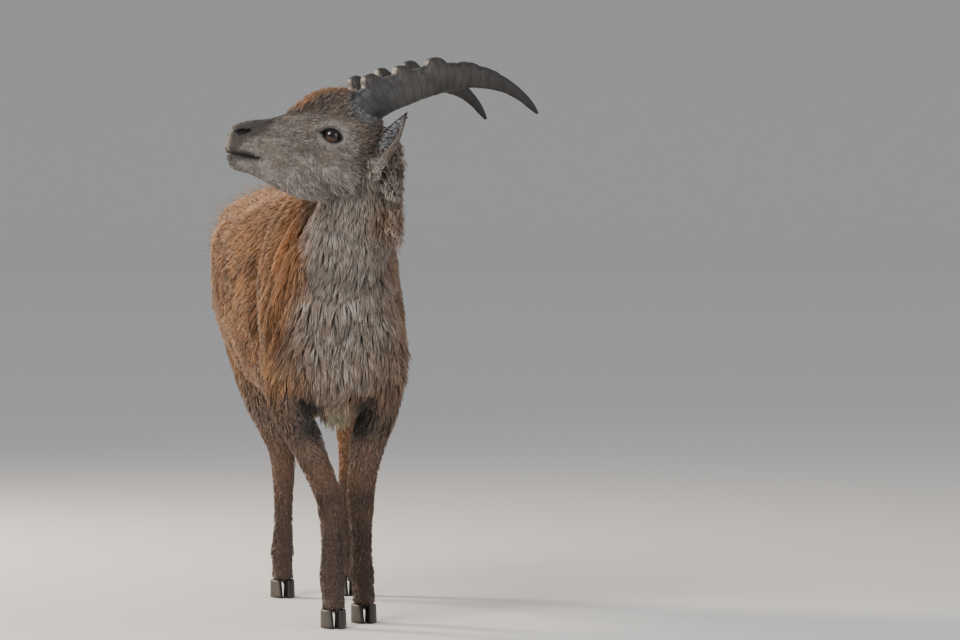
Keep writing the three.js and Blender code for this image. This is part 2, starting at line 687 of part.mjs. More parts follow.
const skullClear = unite([skull(GAP + 0.15), ...lips()]);
const trunkClear = trunk(GAP);
const neckClear = unite([neck(GAP), ...neckHair(GAP)]);
const forelegClear = unite(["right", "left"].map((name) => loft(legKeys(foreLeg[name]), 20, 10, GAP)));
const breast = unite(breastHair(0)).subtract(neckClear).subtract(forelegClear);
const solids = {
  torso: trunk(0).add(breast),
  neck: unite([neck(0), ...neckHair(0)]).subtract(trunkClear).subtract(skullClear),
  head: head(),
  tail: loft(tailKeys, 10, 10).subtract(trunkClear),
};
for (const [name, sign] of [["right", -1], ["left", 1]]) {
  solids["horn_" + name] = horn(sign).subtract(skullClear);
  solids["ear_" + name] = ear(sign).subtract(skullClear).subtract(neckClear);
  solids["eye_" + name] = ball(eyePlace(sign), [front, left, crown], Array(3).fill(eyeRadius), 12);
  for (const [leg, sizes] of [["fore", foreLeg[name]], ["hind", hindLeg[name]]]) {
    solids[leg + "leg_" + name] = loft(legKeys(sizes), 20, 10).subtract(trunkClear);
    const foot = sizes.at(-1);
    solids["hoof_" + leg + "_" + name + "_outer"] = claw(foot, sign);
    solids["hoof_" + leg + "_" + name + "_inner"] = claw(foot, -sign);
  }
}

function meshOf(name, solid) {
  const { numProp, vertProperties, triVerts } = solid.getMesh();
  const count = vertProperties.length / numProp;
  const positions = new Float32Array(count * 3);
  for (let i = 0; i < count; i++) {
    positions.set(vertProperties.subarray(i * numProp, i * numProp + 3), i * 3);
  }
  const geometry = new THREE.BufferGeometry();
  geometry.setAttribute("position", new THREE.BufferAttribute(positions, 3));
  geometry.setIndex(new THREE.BufferAttribute(triVerts, 1));
  geometry.computeVertexNormals();
  const material = new THREE.MeshStandardMaterial({ ...looks[name.split("_")[0]], metalness: 0 });
  const mesh = new THREE.Mesh(geometry, material);
  mesh.name = name;
  return mesh;
}

const ibex = new THREE.Group();
for (const [name, solid] of Object.entries(solids)) ibex.add(meshOf(name, largest(solid)));

// The origin is on the floor under the middle of the animal's box.
const box = new THREE.Box3().setFromObject(ibex);
const middle = box.getCenter(vec(0, 0, 0));
ibex.position.set(-middle.x, -middle.y, -box.min.z);

export default ibex;
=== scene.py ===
# %% [markdown]
# # A young alpine ibex
# The animal stands still with its head turned to its right. The frame holds its plain solids.
# This lesson dresses them: one skin for all the flesh, then horns, hooves, eyes and ears, and last
# a coat of many thousand small tufts. Everything is measured in millimetres in the animal's own
# axes, where it faces -Y, and is moved to the frame's metres when a mesh is made.

# %% Open the frame
import json
import math
import bmesh
import bpy
import numpy as np
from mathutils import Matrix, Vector
from mathutils.kdtree import KDTree

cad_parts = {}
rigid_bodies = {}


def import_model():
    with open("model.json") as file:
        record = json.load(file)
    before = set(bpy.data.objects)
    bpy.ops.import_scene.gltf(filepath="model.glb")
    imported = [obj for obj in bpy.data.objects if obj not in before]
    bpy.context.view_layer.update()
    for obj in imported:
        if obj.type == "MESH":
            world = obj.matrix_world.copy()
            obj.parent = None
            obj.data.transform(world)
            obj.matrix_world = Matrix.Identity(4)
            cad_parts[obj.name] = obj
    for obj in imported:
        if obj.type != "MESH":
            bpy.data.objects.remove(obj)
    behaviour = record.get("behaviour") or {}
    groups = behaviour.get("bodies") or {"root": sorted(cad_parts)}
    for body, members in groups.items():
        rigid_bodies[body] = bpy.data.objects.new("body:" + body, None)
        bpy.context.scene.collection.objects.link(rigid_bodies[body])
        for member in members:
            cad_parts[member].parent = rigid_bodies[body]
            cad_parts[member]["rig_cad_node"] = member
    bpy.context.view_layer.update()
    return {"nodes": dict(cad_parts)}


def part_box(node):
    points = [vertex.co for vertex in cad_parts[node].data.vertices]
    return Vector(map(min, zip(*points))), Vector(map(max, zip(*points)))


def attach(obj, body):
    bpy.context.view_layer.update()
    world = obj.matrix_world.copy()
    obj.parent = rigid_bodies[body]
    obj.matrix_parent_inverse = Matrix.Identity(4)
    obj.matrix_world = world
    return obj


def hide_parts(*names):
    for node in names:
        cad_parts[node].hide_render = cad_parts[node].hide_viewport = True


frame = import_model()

print("nodes:", len(frame["nodes"]))

# %% [markdown]
# ## Vectors and the head's own axes
# The head points to the right of the trunk and is rolled a little, so its parts are placed along
# its own axes: ahead to the nose, left to the left ear, crown to the top of the skull.

# %% Vectors and the head's axes
HEAD_PLACE = np.array([-46.0, -420.0, 909.0])  # midway between the eyes
HEAD_TURN = math.radians(76)  # to the animal's right
HEAD_ROLL = math.radians(2.5)  # its left side up


def unit(v):
    v = np.asarray(v, float)
    return v / np.maximum(np.linalg.norm(v, axis=-1, keepdims=True), 1e-9)


def dot(a, b):
    return np.sum(a * b, axis=-1)


ahead = np.array([-math.sin(HEAD_TURN), -math.cos(HEAD_TURN), 0.0])
level_left = np.cross([0, 0, 1], ahead)
left = level_left * math.cos(HEAD_ROLL) + np.cross(ahead, level_left) * math.sin(HEAD_ROLL)
crown = np.cross(ahead, left)
HEAD_AXES = np.array([ahead, left, crown])


def in_head(f, l, u):
    """A point f ahead of, l to the left of and u above the place between the eyes."""
    return HEAD_PLACE + f * ahead + l * left + u * crown


def headward(f, l, u):
    return unit(f * ahead + l * left + u * crown)


def head_numbers(points):
    """The f, l and u of points, the reverse of in_head."""
    return (points - HEAD_PLACE) @ HEAD_AXES.T


def smooth(low, high, x):
    """0 below low, 1 above high, with a soft step between them."""
    t = np.clip((x - low) / (high - low), 0, 1)
    return t * t * (3 - 2 * t)


def bell(*pairs):
    """1 where all the distances are 0, falling to 0 round there. A pair is a distance and its width."""
    return np.exp(-sum((distance / width) ** 2 for distance, width in pairs))


def waves(points, size, seed):
    """Soft seeded noise from -1 to 1, with lumps about size millimetres across."""
    random = np.random.default_rng(seed)
    total = np.zeros(len(points))
    for _ in range(7):
        way = unit(random.normal(size=3)) * 2 * math.pi / (size * random.uniform(1.2, 2.6))
        bend = unit(random.normal(size=3)) * 2 * math.pi / (size * random.uniform(2.5, 5))
        total += np.sin(points @ way + 1.7 * np.sin(points @ bend + random.uniform(0, 6)))
    return total / 4.5


# %% Where the animal's own millimetres lie in the frame
EYE_RADIUS = 17.0


def eye_place(sign):
    return in_head(-6, sign * 48, -10)


lowest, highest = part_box("eye_left")
SHIFT = np.array((lowest + highest) / 2) * 1000 - eye_place(1)
lowest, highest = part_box("eye_right")
other_way = np.array((lowest + highest) / 2) * 1000 - eye_place(-1)
print("shift from both eyes agrees within", round(float(np.abs(SHIFT - other_way).max()), 2), "mm")


def to_frame(points):
    return (np.asarray(points, float) + SHIFT) / 1000


# %% [markdown]
# ## Bodies from sections
# Muscle runs along bones, so each part of the animal is a loft: rings of measured width and height
# along a line, joined smoothly. A squarer or more pointed ring comes from its flat value, above or
# below 2. depth is how far the skin lies under the outline of the coat.

# %% Lofts
def spline(table, s):
    """Catmull-Rom values of a table's rows at the row numbers s."""
    last = len(table) - 1
    s = np.clip(s, 0, last)
    i = np.minimum(s.astype(int), last - 1)
    t = (s - i)[:, None]
    a, b = table[np.maximum(i - 1, 0)], table[i]
    c, d = table[i + 1], table[np.minimum(i + 2, last)]
    return b + 0.5 * ((c - a) * t + (2 * a - 5 * b + 4 * c - d) * t**2 + (3 * b - a - 3 * c + d) * t**3)


def section(centre, side, up, half, top, low, depth, flat_top=2.0, flat_low=2.0):
    return [*centre, *side, *up, half, top, low, flat_top, flat_low, depth]


def measures(body, s):
    """Centre, side, up and the sizes of a body's ring at each section number in s."""
    row = spline(body, np.asarray(s, float))
    up = unit(row[:, 6:9])
    side = row[:, 3:6]
    side = unit(side - up * dot(side, up)[:, None])
    return row[:, 0:3], side, up, np.maximum(row[:, 9:12], 0.5), row[:, 12:14], row[:, 14]


def on_body(body, s, angle):
    """Points of a body's skin."""
    s, angle = np.broadcast_arrays(np.asarray(s, float), np.asarray(angle, float))
    shape = s.shape
    s, angle = s.ravel(), angle.ravel()
    centre, side, up, size, flat, depth = measures(body, s)
    c, sn = np.cos(angle), np.sin(angle)
    over = sn >= 0
    power = 2 / np.where(over, flat[:, 0], flat[:, 1])
    half = np.maximum(size[:, 0] - depth, 0.5)
    reach = np.maximum(np.where(over, size[:, 1], size[:, 2]) - depth, 0.5)
    across = np.sign(c) * np.abs(c) ** power * half
    along = np.sign(sn) * np.abs(sn) ** power * reach
    points = centre + side * across[:, None] + up * along[:, None]
    return points.reshape(*shape, 3)


def tube_faces(rings, around, first=0):
    """Quads between rings of points, with a flat cap at each end."""
    i, j = np.meshgrid(np.arange(rings - 1), np.arange(around), indexing="ij")
    a = first + i * around + j
    b = first + i * around + (j + 1) % around
    faces = np.stack([a, b, b + around, a + around], -1).reshape(-1, 4).tolist()
    faces.append(list(range(first + around - 1, first - 1, -1)))
    start = first + (rings - 1) * around
    faces.append(list(range(start, start + around)))
    return faces


def round_angles(around):
    return (np.arange(around) * 2 * math.pi / around)[None, :]


def grid_of(body, steps, around):
    s = np.linspace(0, len(body) - 1, steps)[:, None]
    return on_body(body, s, round_angles(around))


# %% The bodies of the animal
X, Y, Z = np.eye(3)

trunk = np.array([
    section((x, y, mid), X, Z, half, top - mid, mid - low, 7, 2.15, 2.05)
    for y, x, top, mid, low, half in [
        (-374, 2, 640, 575, 515, 24), (-362, 2, 700, 565, 452, 74), (-332, 1, 764, 558, 414, 104),
        (-270, 0, 808, 560, 393, 122), (-180, -2, 822, 580, 386, 134), (-80, -9, 810, 610, 382, 154),
        (40, -15, 800, 640, 384, 171), (150, -16, 798, 660, 396, 176), (250, -10, 802, 668, 430, 168),
        (340, 0, 804, 670, 485, 148), (420, 10, 786, 675, 545, 118), (468, 14, 750, 680, 600, 78),
        (492, 14, 708, 676, 640, 24)]
])
breast = np.array([
    section((x, y, z), X, -Y, half, reach, 50, 5, 2.2)
    for x, y, z, half, reach in [
        (10, -268, 745, 66, 74), (8, -268, 700, 86, 98), (5, -270, 640, 97, 110), (3, -270, 575, 102, 112),
        (2, -268, 510, 98, 106), (2, -264, 450, 82, 90), (2, -260, 408, 52, 60)]
])


def shoulder(sign):
    return np.array([
        section((sign * x, y, z), X, -Y, half, deep, deep, 6)
        for x, y, z, half, deep in [
            (40, -172, 760, 14, 34), (58, -198, 710, 42, 78), (68, -228, 625, 54, 98),
            (76, -250, 540, 55, 98), (83, -262, 470, 49, 82), (84, -265, 420, 34, 56)]
    ])


neck = np.array([
    section(at, np.cross(dorsal, axis), dorsal, half, deep, deep, 4)
    for at, dorsal, axis, half, deep in [
        ((0, -180, 640), (0, 0.62, 0.78), (0, -0.78, 0.62), 90, 152),
        ((6, -268, 668), (0.1, 0.7, 0.7), (0.02, -0.7, 0.7), 86, 130),
        ((16, -326, 712), (0.42, 0.76, 0.5), (0.1, -0.5, 0.84), 78, 100),
        ((24, -362, 757), (0.82, 0.52, 0.22), (0.05, -0.3, 0.95), 66, 76),
        ((27, -384, 806), (0.95, 0.28, 0.1), (0, -0.2, 0.98), 59, 70),
        ((23, -398, 856), (0.96, 0.22, 0.15), (-0.12, -0.15, 0.98), 56, 72),
        ((8, -406, 896), (0.9, 0.2, 0.35), (-0.4, -0.1, 0.9), 48, 60),
        ((-2, -408, 916), (0.9, 0.2, 0.35), (-0.4, -0.1, 0.9), 20, 24)]
])
skull = np.array([
    section(in_head(f, 0, mid), left, crown, half, top - mid, mid - low, depth, 2.3, 1.8)
    for f, top, mid, low, half, depth in [
        (-116, 22, 0, -22, 20, 4), (-106, 46, 0, -56, 44, 4), (-84, 64, -2, -88, 58, 4),
        (-54, 74, -4, -112, 62, 4), (-22, 76, -6, -124, 59, 5), (10, 67, -8, -129, 54, 5.5),
        (40, 47, -12, -122, 48, 5), (70, 31, -18, -111, 41, 4), (98, 25, -22, -98, 36, 3),
        (126, 23, -24, -82, 34, 2), (148, 17, -25, -73, 33, 1), (165, 4, -27, -65, 27, 0.5),
        (176, -17, -32, -52, 13, 0.5)]
])

# %% [markdown]
# ## Legs and tail
# A goat stands on its toes: the wrist is the knee halfway up the foreleg, the ankle is the hock
# halfway up the hind leg. Every leg is a loft from inside the trunk down to the top of the hoof.

# %% Legs and tail
LEG_SIZES = {
    "foreleg_right": [
        (-92, -272, 505, 34, 56), (-93, -275, 452, 39, 56), (-84, -283, 400, 38, 47),
        (-62, -298, 345, 34, 38), (-36, -316, 285, 29.5, 31), (-19, -330, 240, 28, 30),
        (-14, -333, 205, 24.5, 25), (-12, -331, 150, 21.5, 22), (-12, -327, 108, 23, 24),
        (-12, -328, 88, 25.5, 27), (-12, -340, 62, 22.5, 23), (-12, -352, 42, 24, 27),
        (-12, -354, 34, 23, 26)],
    "foreleg_left": [
        (92, -262, 505, 34, 56), (94, -262, 450, 38, 56), (84, -258, 395, 37, 47),
        (66, -254, 340, 34, 38), (56, -248, 285, 29.5, 31), (51, -244, 238, 28, 30),
        (52, -238, 203, 24.5, 25), (54, -226, 150, 21.5, 22), (56, -216, 108, 23, 24),
        (57, -214, 88, 25.5, 27), (58, -226, 62, 22.5, 23), (58, -238, 42, 24, 27),
        (58, -240, 34, 23, 26)],
    "hindleg_right": [
        (-50, 398, 735, 30, 60), (-72, 385, 670, 58, 108), (-84, 362, 590, 60, 120),
        (-86, 338, 510, 56, 104), (-80, 338, 440, 47, 74), (-62, 368, 375, 38, 54),
        (-38, 402, 318, 29, 39), (-22, 426, 272, 25, 35), (-19, 428, 236, 23.5, 30),
        (-20, 416, 180, 20, 23), (-22, 406, 120, 20.5, 23), (-24, 401, 90, 24.5, 27),
        (-25, 390, 62, 22, 23), (-26, 378, 42, 23.5, 26), (-26, 376, 34, 22.5, 25)],
    "hindleg_left": [
        (74, 398, 735, 30, 60), (90, 388, 670, 56, 108), (98, 368, 590, 60, 122),
        (102, 346, 510, 56, 104), (106, 346, 440, 46, 74), (110, 376, 375, 37, 54),
        (113, 410, 318, 29, 39), (114, 434, 272, 25, 35), (113, 440, 236, 23.5, 30),
        (110, 438, 180, 20, 23), (108, 436, 120, 20.5, 23), (107, 434, 90, 24.5, 27),
        (106, 424, 62, 22, 23), (106, 412, 42, 23.5, 26), (106, 410, 34, 22.5, 25)],
}


def coat_depth_down_leg(z):
    return 3.0 + 5.0 * float(smooth(300, 480, z))


legs = {
    name: np.array([
        section((x, y, z), X, -Y, half, deep, deep, coat_depth_down_leg(z)) for x, y, z, half, deep in rows
    ])
    for name, rows in LEG_SIZES.items()
}
tail_line = [
    (16, 452, 742, 20, 14), (16, 482, 733, 24, 15), (17, 510, 706, 26, 15), (18, 522, 668, 24, 14),
    (18, 524, 634, 17, 10), (18, 522, 612, 6, 4)]
tail_rows = []
for i, (x, y, z, half, deep) in enumerate(tail_line):
    after = tail_line[min(i + 1, len(tail_line) - 1)]
    before = tail_line[max(i - 1, 0)]
    run = unit([0, after[1] - before[1], after[2] - before[2]])
    tail_rows.append(section((x, y, z), X, (0, -run[2], run[1]), half, deep, deep, 5))
tail = np.array(tail_rows)

BODIES = {
    "trunk": (trunk, 60, 64), "breast": (breast, 30, 40), "shoulder_right": (shoulder(-1), 24, 30),
    "shoulder_left": (shoulder(1), 24, 30), "neck": (neck, 44, 44), "head": (skull, 64, 48),
    "tail": (tail, 24, 24), **{name: (body, 60, 28) for name, body in legs.items()}}
print("bodies:", ", ".join(BODIES))

# %% [markdown]
# ## Lumps of the head
# Lips, nose pad, lids and brow stand out of the skull's plain loft. They are flattened balls that
# melt into it when the skin is remeshed.

# %% Balls that melt into the skin
def eye_axes(sign):
    """Along the slit of an eye to the nose, across it and straight out of the head."""
    out = headward(0.26, sign, 0.05)
    level = headward(1, -sign * 0.26, 0.42)
    level = unit(level - out * (level @ out))
    return np.array([level, unit(np.cross(out, level)), out])


def eye_numbers(points, sign):
    """Along the slit to the nose, up across it and out of the head, from the eye's middle."""
    return ((points - eye_place(sign)) @ eye_axes(sign).T * [1, -sign, 1]).T


def ball(centre, axes, sizes, rings=20, around=28):
    theta = np.linspace(0.02, math.pi - 0.02, rings)[:, None]
    phi = round_angles(around)
    local = np.stack(np.broadcast_arrays(
        np.sin(theta) * np.cos(phi), np.sin(theta) * np.sin(phi), np.cos(theta)), -1)
    return np.asarray(centre) + (local * sizes) @ np.asarray(axes)


tilted = [headward(1, 0, 0.2), left, headward(-0.2, 0, 1)]
LUMPS = [
    ball(in_head(150, 0, -27), tilted, (25.5, 34.5, 12.5)),
    ball(in_head(149, 0, -57), tilted, (26.5, 28, 14.5)),
    ball(in_head(147, 0, 1), HEAD_AXES, (18.5, 24.5, 15.5)),
]
for sign in (-1, 1):
    axes = eye_axes(sign)
    outward = sign * left
    LUMPS += [
        # lids and brow
        ball(eye_place(sign) - 5 * axes[2], axes, (28, 22.5, 23.5)),
        ball(in_head(-7, sign * 42, 11), [headward(1, 0, -0.1), crown, left], (33, 14, 16)),
        # jaw muscle behind the cheek, and the ridge below the eye
        ball(in_head(-30, sign * 38, -66), [ahead, crown, outward], (44, 46, 19)),
        ball(in_head(46, sign * 34, -26), [headward(1, -sign * 0.12, -0.1), crown, outward], (34, 13, 12)),
        # root of the ear, and the collar of skin at the foot of the horn
        ball(in_head(-88, sign * 47, -68), HEAD_AXES, (15, 11, 18)),
        ball(in_head(-70, sign * 30, 38), HEAD_AXES, (30, 21, 24))]

# %% [markdown]
# ## One skin
# All bodies and lumps go into one mesh, which is remeshed into a single closed surface and
# smoothed, so that no seam shows where a leg meets the trunk or the neck meets the head.

# %% Build the skin
def mesh_object(name, points, faces):
    """A new object in the frame's own place from points in the animal's millimetres."""
    mesh = bpy.data.meshes.new(name)
    mesh.from_pydata(to_frame(points).tolist(), [], faces)
    mesh.update()
    mesh.polygons.foreach_set("use_smooth", np.ones(len(mesh.polygons), bool))
    thing = bpy.data.objects.new(name, mesh)
    bpy.context.scene.collection.objects.link(thing)
    return thing


def mesh_points(thing):
    mesh = thing.data
    flat = np.empty(len(mesh.vertices) * 3)
    mesh.vertices.foreach_get("co", flat)
    return flat.reshape(-1, 3) * 1000 - SHIFT


def set_points(thing, points):
    thing.data.vertices.foreach_set("co", to_frame(points).ravel())
    thing.data.update()


def mesh_normals(thing):
    mesh = thing.data
    flat = np.empty(len(mesh.vertices) * 3, np.float32)
    mesh.vertices.foreach_get("normal", flat)
    return flat.reshape(-1, 3).astype(float)


def bake_in(thing, kind, **settings):
    """Adds a modifier and keeps its result as the object's mesh."""
    modifier = thing.modifiers.new(kind.lower(), kind)
    for name, value in settings.items():
        setattr(modifier, name, value)
    graph = bpy.context.evaluated_depsgraph_get()
    mesh = bpy.data.meshes.new_from_object(thing.evaluated_get(graph))
    thing.modifiers.clear()
    old = thing.data
    thing.data = mesh
    bpy.data.meshes.remove(old)


points, faces = [], []
for body, steps, around in BODIES.values():
    grid = grid_of(body, steps, around)
    faces += tube_faces(steps, around, sum(len(part) for part in points))
    points.append(grid.reshape(-1, 3))
for grid in LUMPS:
    faces += tube_faces(*grid.shape[:2], sum(len(part) for part in points))
    points.append(grid.reshape(-1, 3))
skin = mesh_object("skin", np.concatenate(points), faces)
bake_in(skin, "REMESH", mode="VOXEL", voxel_size=0.0054, adaptivity=0.0)
bake_in(skin, "SMOOTH", factor=0.5, iterations=6)
print("skin faces after remeshing:", len(skin.data.polygons))

# %% Finer skin over the face
def refine(thing, inside):
    """Halves every edge whose two ends are both inside."""
    chosen = inside(mesh_points(thing))
    work = bmesh.new()
    work.from_mesh(thing.data)
    work.verts.ensure_lookup_table()
    edges = [e for e in work.edges if chosen[e.verts[0].index] and chosen[e.verts[1].index]]
    bmesh.ops.subdivide_edges(work, edges=edges, cuts=1, use_grid_fill=True, smooth=0.0)
    work.to_mesh(thing.data)
    work.free()
    print("refined", len(edges), "edges, now", len(thing.data.polygons), "faces")


def near_face(points):
    f, l, u = head_numbers(points).T
    return (f > -60) & (f < 200) & (np.abs(l) < 80) & (u > -150) & (u < 70)


def near_features(points):
    f, l, u = head_numbers(points).T
    lids = np.zeros(len(points), bool)
    for sign in (-1, 1):
        lids |= np.linalg.norm(points - eye_place(sign), axis=1) < 34
    nose = (f > 120) & (np.abs(l) < 60) & (u > -60) & (u < 40)
    return lids | nose


refine(skin, near_face)
refine(skin, near_features)
# %% [markdown]
# ## Forms of the face
# The lids lie on the eyeball as two thin folds, the nostrils are slanted commas with a raised
# wing, and the mouth is a closed line that rises to the front. Each is pushed into the skin.

# %% Shape the lids
LID_LONG, LID_HIGH = 16.6, 11.0


def almond(x, y):
    """Under 1 inside the slit of the eye, 1 on its edge. x runs along the slit, y across it."""
    lean = y + 0.0012 * x * np.abs(x)
    return (np.abs(x) / LID_LONG) ** 1.75 + (np.abs(lean) / LID_HIGH) ** 1.75


def shape_lids(points, sign):
    x, y, z = eye_numbers(points, sign)
    front = z > -6
    inside = almond(x, y)
    reach = np.sqrt(x**2 + y**2)
    ball_top = np.sqrt(np.maximum(EYE_RADIUS**2 - np.minimum(reach, 16.6) ** 2, 0))
    lid = ball_top + 2.4 * np.where(y > 0, 1.0, 0.7)
    # the lids hug the ball at their edge and rise into the brow
    hug = (1 - smooth(1.0, 2.3, inside)) * front
    fold = bell((inside - 1.9, 0.28)) * np.where(y > 0, 2.2, 1.2)
    z = z + (lid - z) * hug - fold * front * (inside > 1)
    hole = (1 - smooth(0.86, 1.02, inside)) * front
    z = z + (-4 - z) * hole
    # the lower corner at the nose runs into the tear duct
    duct = bell((x - 21, 5), (y + 1.5 + 0.12 * (x - 16), 1.9))
    z = z - 3.0 * duct * front
    return eye_place(sign) + np.stack([x, -sign * y, z], -1) @ eye_axes(sign)


# %% Shape the muzzle
MOUTH = [(124, -49), (155, -45.5), (196, -31.5)]
face_marks = {}


def near_curve(f, u, curve, steps=60):
    """Distance in the side view from points to a curve of three control points."""
    t = np.linspace(0, 1, steps)[:, None]
    a, b, c = np.array(curve, float)
    line = (1 - t) ** 2 * a + 2 * t * (1 - t) * b + t**2 * c
    gaps = np.hypot(f[:, None] - line[None, :, 0], u[:, None] - line[None, :, 1])
    return gaps.min(axis=1)


def shape_mouth(points):
    f, l, u = head_numbers(points).T
    open_by = 2.2 + 2.6 * bell((f - 154, 15))
    groove = bell((near_curve(f, u, MOUTH), open_by)) * smooth(120, 130, f)
    inward = -np.stack([0.5 * smooth(150, 175, f), np.sign(l) * smooth(2, 14, np.abs(l)), 0 * f], -1)
    push = unit(inward + 1e-6) @ HEAD_AXES
    points = points + push * (5.5 * groove)[:, None]
    # upper lip overhangs the lower one a little
    overhang = bell((u - (-34 + 0.2 * (f - 150)), 5.5)) * smooth(132, 150, f)
    face_marks["mouth"] = groove
    return points - push * (1.3 * overhang)[:, None]


def shape_nostrils(points, side):
    hole = np.zeros(len(points))
    for sign in (-1, 1):
        along = headward(1, -sign * 0.5, -0.05)
        out = headward(0.45, sign * 0.9, 0.12)
        out = unit(out - along * dot(out, along))
        over = np.cross(out, along)
        if over @ crown < 0:
            over = -over
        x, y, z = ((points - in_head(158, sign * 27, -0.5)) @ np.array([along, over, out]).T).T
        y = y - 0.012 * x**2 + 1.5 * smooth(0, 12, x)
        near = (np.abs(z) < 16) & (side == sign)
        slit = (np.abs(x) / 15.5) ** 2 + (np.abs(y) / (5.2 + 2.4 * smooth(-10, 10, x))) ** 2
        mask = (1 - smooth(0.5, 1.25, slit)) * near
        rim = bell((np.sqrt(slit) - 1.65, 0.42)) * near * smooth(-16, -4, x + 2 * y)
        points = points - out * (9.5 * mask)[:, None] + out * (2.2 * rim)[:, None]
        hole = np.maximum(hole, mask)
    face_marks["nostril"] = hole
    return points


# %% Shape the bones of the head
HEAD_FORMS = [  # place ahead and up, length, height, and how far it stands out
    (62, -40, 26, 12, -3.6),   # hollow ahead of the cheek
    (34, -22, 30, 6, 2.0),     # ridge under the eye
    (96, 2, 34, 9, -2.4),      # hollow beside the bridge of the nose
    (118, -50, 16, 9, -2.0),   # corner of the mouth
    (-36, -70, 26, 34, 2.2),   # jaw muscle
    (4, -96, 30, 10, -2.2),    # hollow over the edge of the jaw
    (20, -112, 44, 7, 1.6)]    # edge of the jaw


def shape_head(points):
    """Bone and muscle that show under the short hair of the head."""
    f, l, u = head_numbers(points).T
    side = np.abs(l)
    here = (f > -100) & (f < 190) & (side < 85) & (u > -150) & (u < 95)
    change = np.zeros(len(points))
    for f0, u0, long, high, amount in HEAD_FORMS:
        change += amount * bell((f - f0, long), (u - u0, high)) * smooth(10, 26, side)
    bridge = bell((f - 70, 36)) * bell((l, 11)) * smooth(10, 24, u)
    change += 1.6 * bridge
    change += 0.5 * waves(points, 14, 3) * smooth(-40, 10, -u)
    return points + mesh_normals(skin) * (change * here)[:, None]


points = shape_head(mesh_points(skin))
points = shape_nostrils(shape_mouth(points), np.sign(head_numbers(points)[:, 1]))
for sign in (-1, 1):
    points = shape_lids(points, sign)
set_points(skin, points)
print("points in the mouth's line:", int((face_marks["mouth"] > 0.5).sum()))

# %% [markdown]
# ## Folds of the body
# The summer skin is loose on the side of the neck and over the shoulder, where it lies in upright
# folds. Bone and sinew show at the blade, the elbow, the hip, the stifle and the hock.

# %% Shape the body
BODY_FORMS = [  # place on the left side, sizes, and how far it stands out
    ((105, -205, 690), (60, 30, 70), 5),      # edge of the shoulder blade
    ((80, -178, 770), (60, 17, 46), -7),      # hollow behind it, in five steps downwards
    ((112, -160, 700), (60, 17, 46), -7),
    ((126, -158, 630), (60, 17, 46), -7),
    ((132, -166, 560), (60, 17, 46), -7),
    ((124, -172, 490), (60, 17, 46), -7),
    ((120, -262, 585), (50, 46, 46), 5),      # point of the shoulder
    ((122, -205, 492), (40, 34, 28), 6),      # elbow
    ((150, 205, 640), (60, 60, 46), -9),      # hollow of the flank
    ((120, 250, 745), (46, 40, 36), 7),       # hip
    ((130, 270, 520), (40, 30, 34), 6),       # stifle
    ((90, 430, 470), (40, 30, 60), -6)]       # back of the thigh


def shape_body(points):
    x, y, z = points.T
    f = head_numbers(points)[:, 0]
    from_eyes = np.linalg.norm(points - HEAD_PLACE, axis=1)
    off_head = 1 - smooth(-125, -105, f) * (1 - smooth(150, 175, from_eyes))
    change = np.zeros(len(points))
    for sign in (-1, 1):
        for place, sizes, amount in BODY_FORMS:
            away = (points - np.multiply(place, (sign, 1, 1))) / np.array(sizes, float)
            change += amount * np.exp(-dot(away, away))
    change += 3.2 * waves(points * [1, 1, 0.5], 60, 8) * (off_head * smooth(330, 420, z))
    # upright folds on the right side of the neck and shoulder
    fold_place = bell((y + 300, 75)) * smooth(500, 600, z) * (1 - smooth(800, 850, z))
    bend = 0.12 * (z - 650) + 9 * np.sin(z / 47.0)
    folds = np.abs(np.sin((y + 0.45 * x + bend) / 13.5)) ** 0.7 - 0.6
    change += 12.0 * folds * fold_place * smooth(10, 60, -x) * off_head
    # sinews of the lower legs
    change += 0.8 * waves(points * [1, 1, 0.35], 16, 21) * (1 - smooth(300, 380, z))
    return points + mesh_normals(skin) * change[:, None]


set_points(skin, shape_body(mesh_points(skin)))
print("skin points:", len(skin.data.vertices))
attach(skin, "root")
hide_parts("torso", "neck", "head", "tail", "foreleg_right", "foreleg_left", "hindleg_right",
            "hindleg_left")

# %% Numbers, colours and a flat map for a mesh
SIDES = ((-1, "right"), (1, "left"))


def give_number(thing, name, values):
    layer = thing.data.attributes.new(name, "FLOAT", "POINT")
    layer.data.foreach_set("value", np.asarray(values, np.float32))


def give_colour(thing, name, colours):
    layer = thing.data.attributes.new(name, "FLOAT_COLOR", "POINT")
    rgba = np.ones((len(colours), 4), np.float32)
    rgba[:, :3] = colours
    layer.data.foreach_set("color", rgba.ravel())


def give_map(thing, pairs):
    """The UV map, from one pair of numbers for each corner of the faces."""
    layer = thing.data.uv_layers.new(name="OFBake")
    layer.uv.foreach_set("vector", pairs.astype(np.float32).ravel())


def face_corners(mesh):
    """The point at each corner, the number of corners of each face, and where each face starts."""
    corner = np.empty(len(mesh.loops), np.int32)
    mesh.loops.foreach_get("vertex_index", corner)
    count = np.empty(len(mesh.polygons), np.int32)
    mesh.polygons.foreach_get("loop_total", count)
    return corner, count, np.concatenate([[0], np.cumsum(count)[:-1]])


def over_grid(shape, *values):
    """Each value over a grid of points, as one row."""
    return [np.broadcast_to(value, shape).ravel() for value in values]


def give_grid_map(thing, shape, u, v):
    """A map from u and v over a grid of points. Where u wraps round, the far side is moved over."""
    corner, count, start = face_corners(thing.data)
    u, v = over_grid(shape, u, v)
    pairs = np.stack([u[corner], v[corner]], -1)
    first = np.repeat(pairs[start, 0], count)
    pairs[:, 0] -= np.round(pairs[:, 0] - first)
    give_map(thing, 0.02 + 0.96 * np.clip(pairs, 0, 1))


# %% [markdown]
# ## Horns
# A horn grows from its foot, a ring of new horn at a time, so it has fine growth lines all along
# and a broad knob across the front for each year's fastest growth.

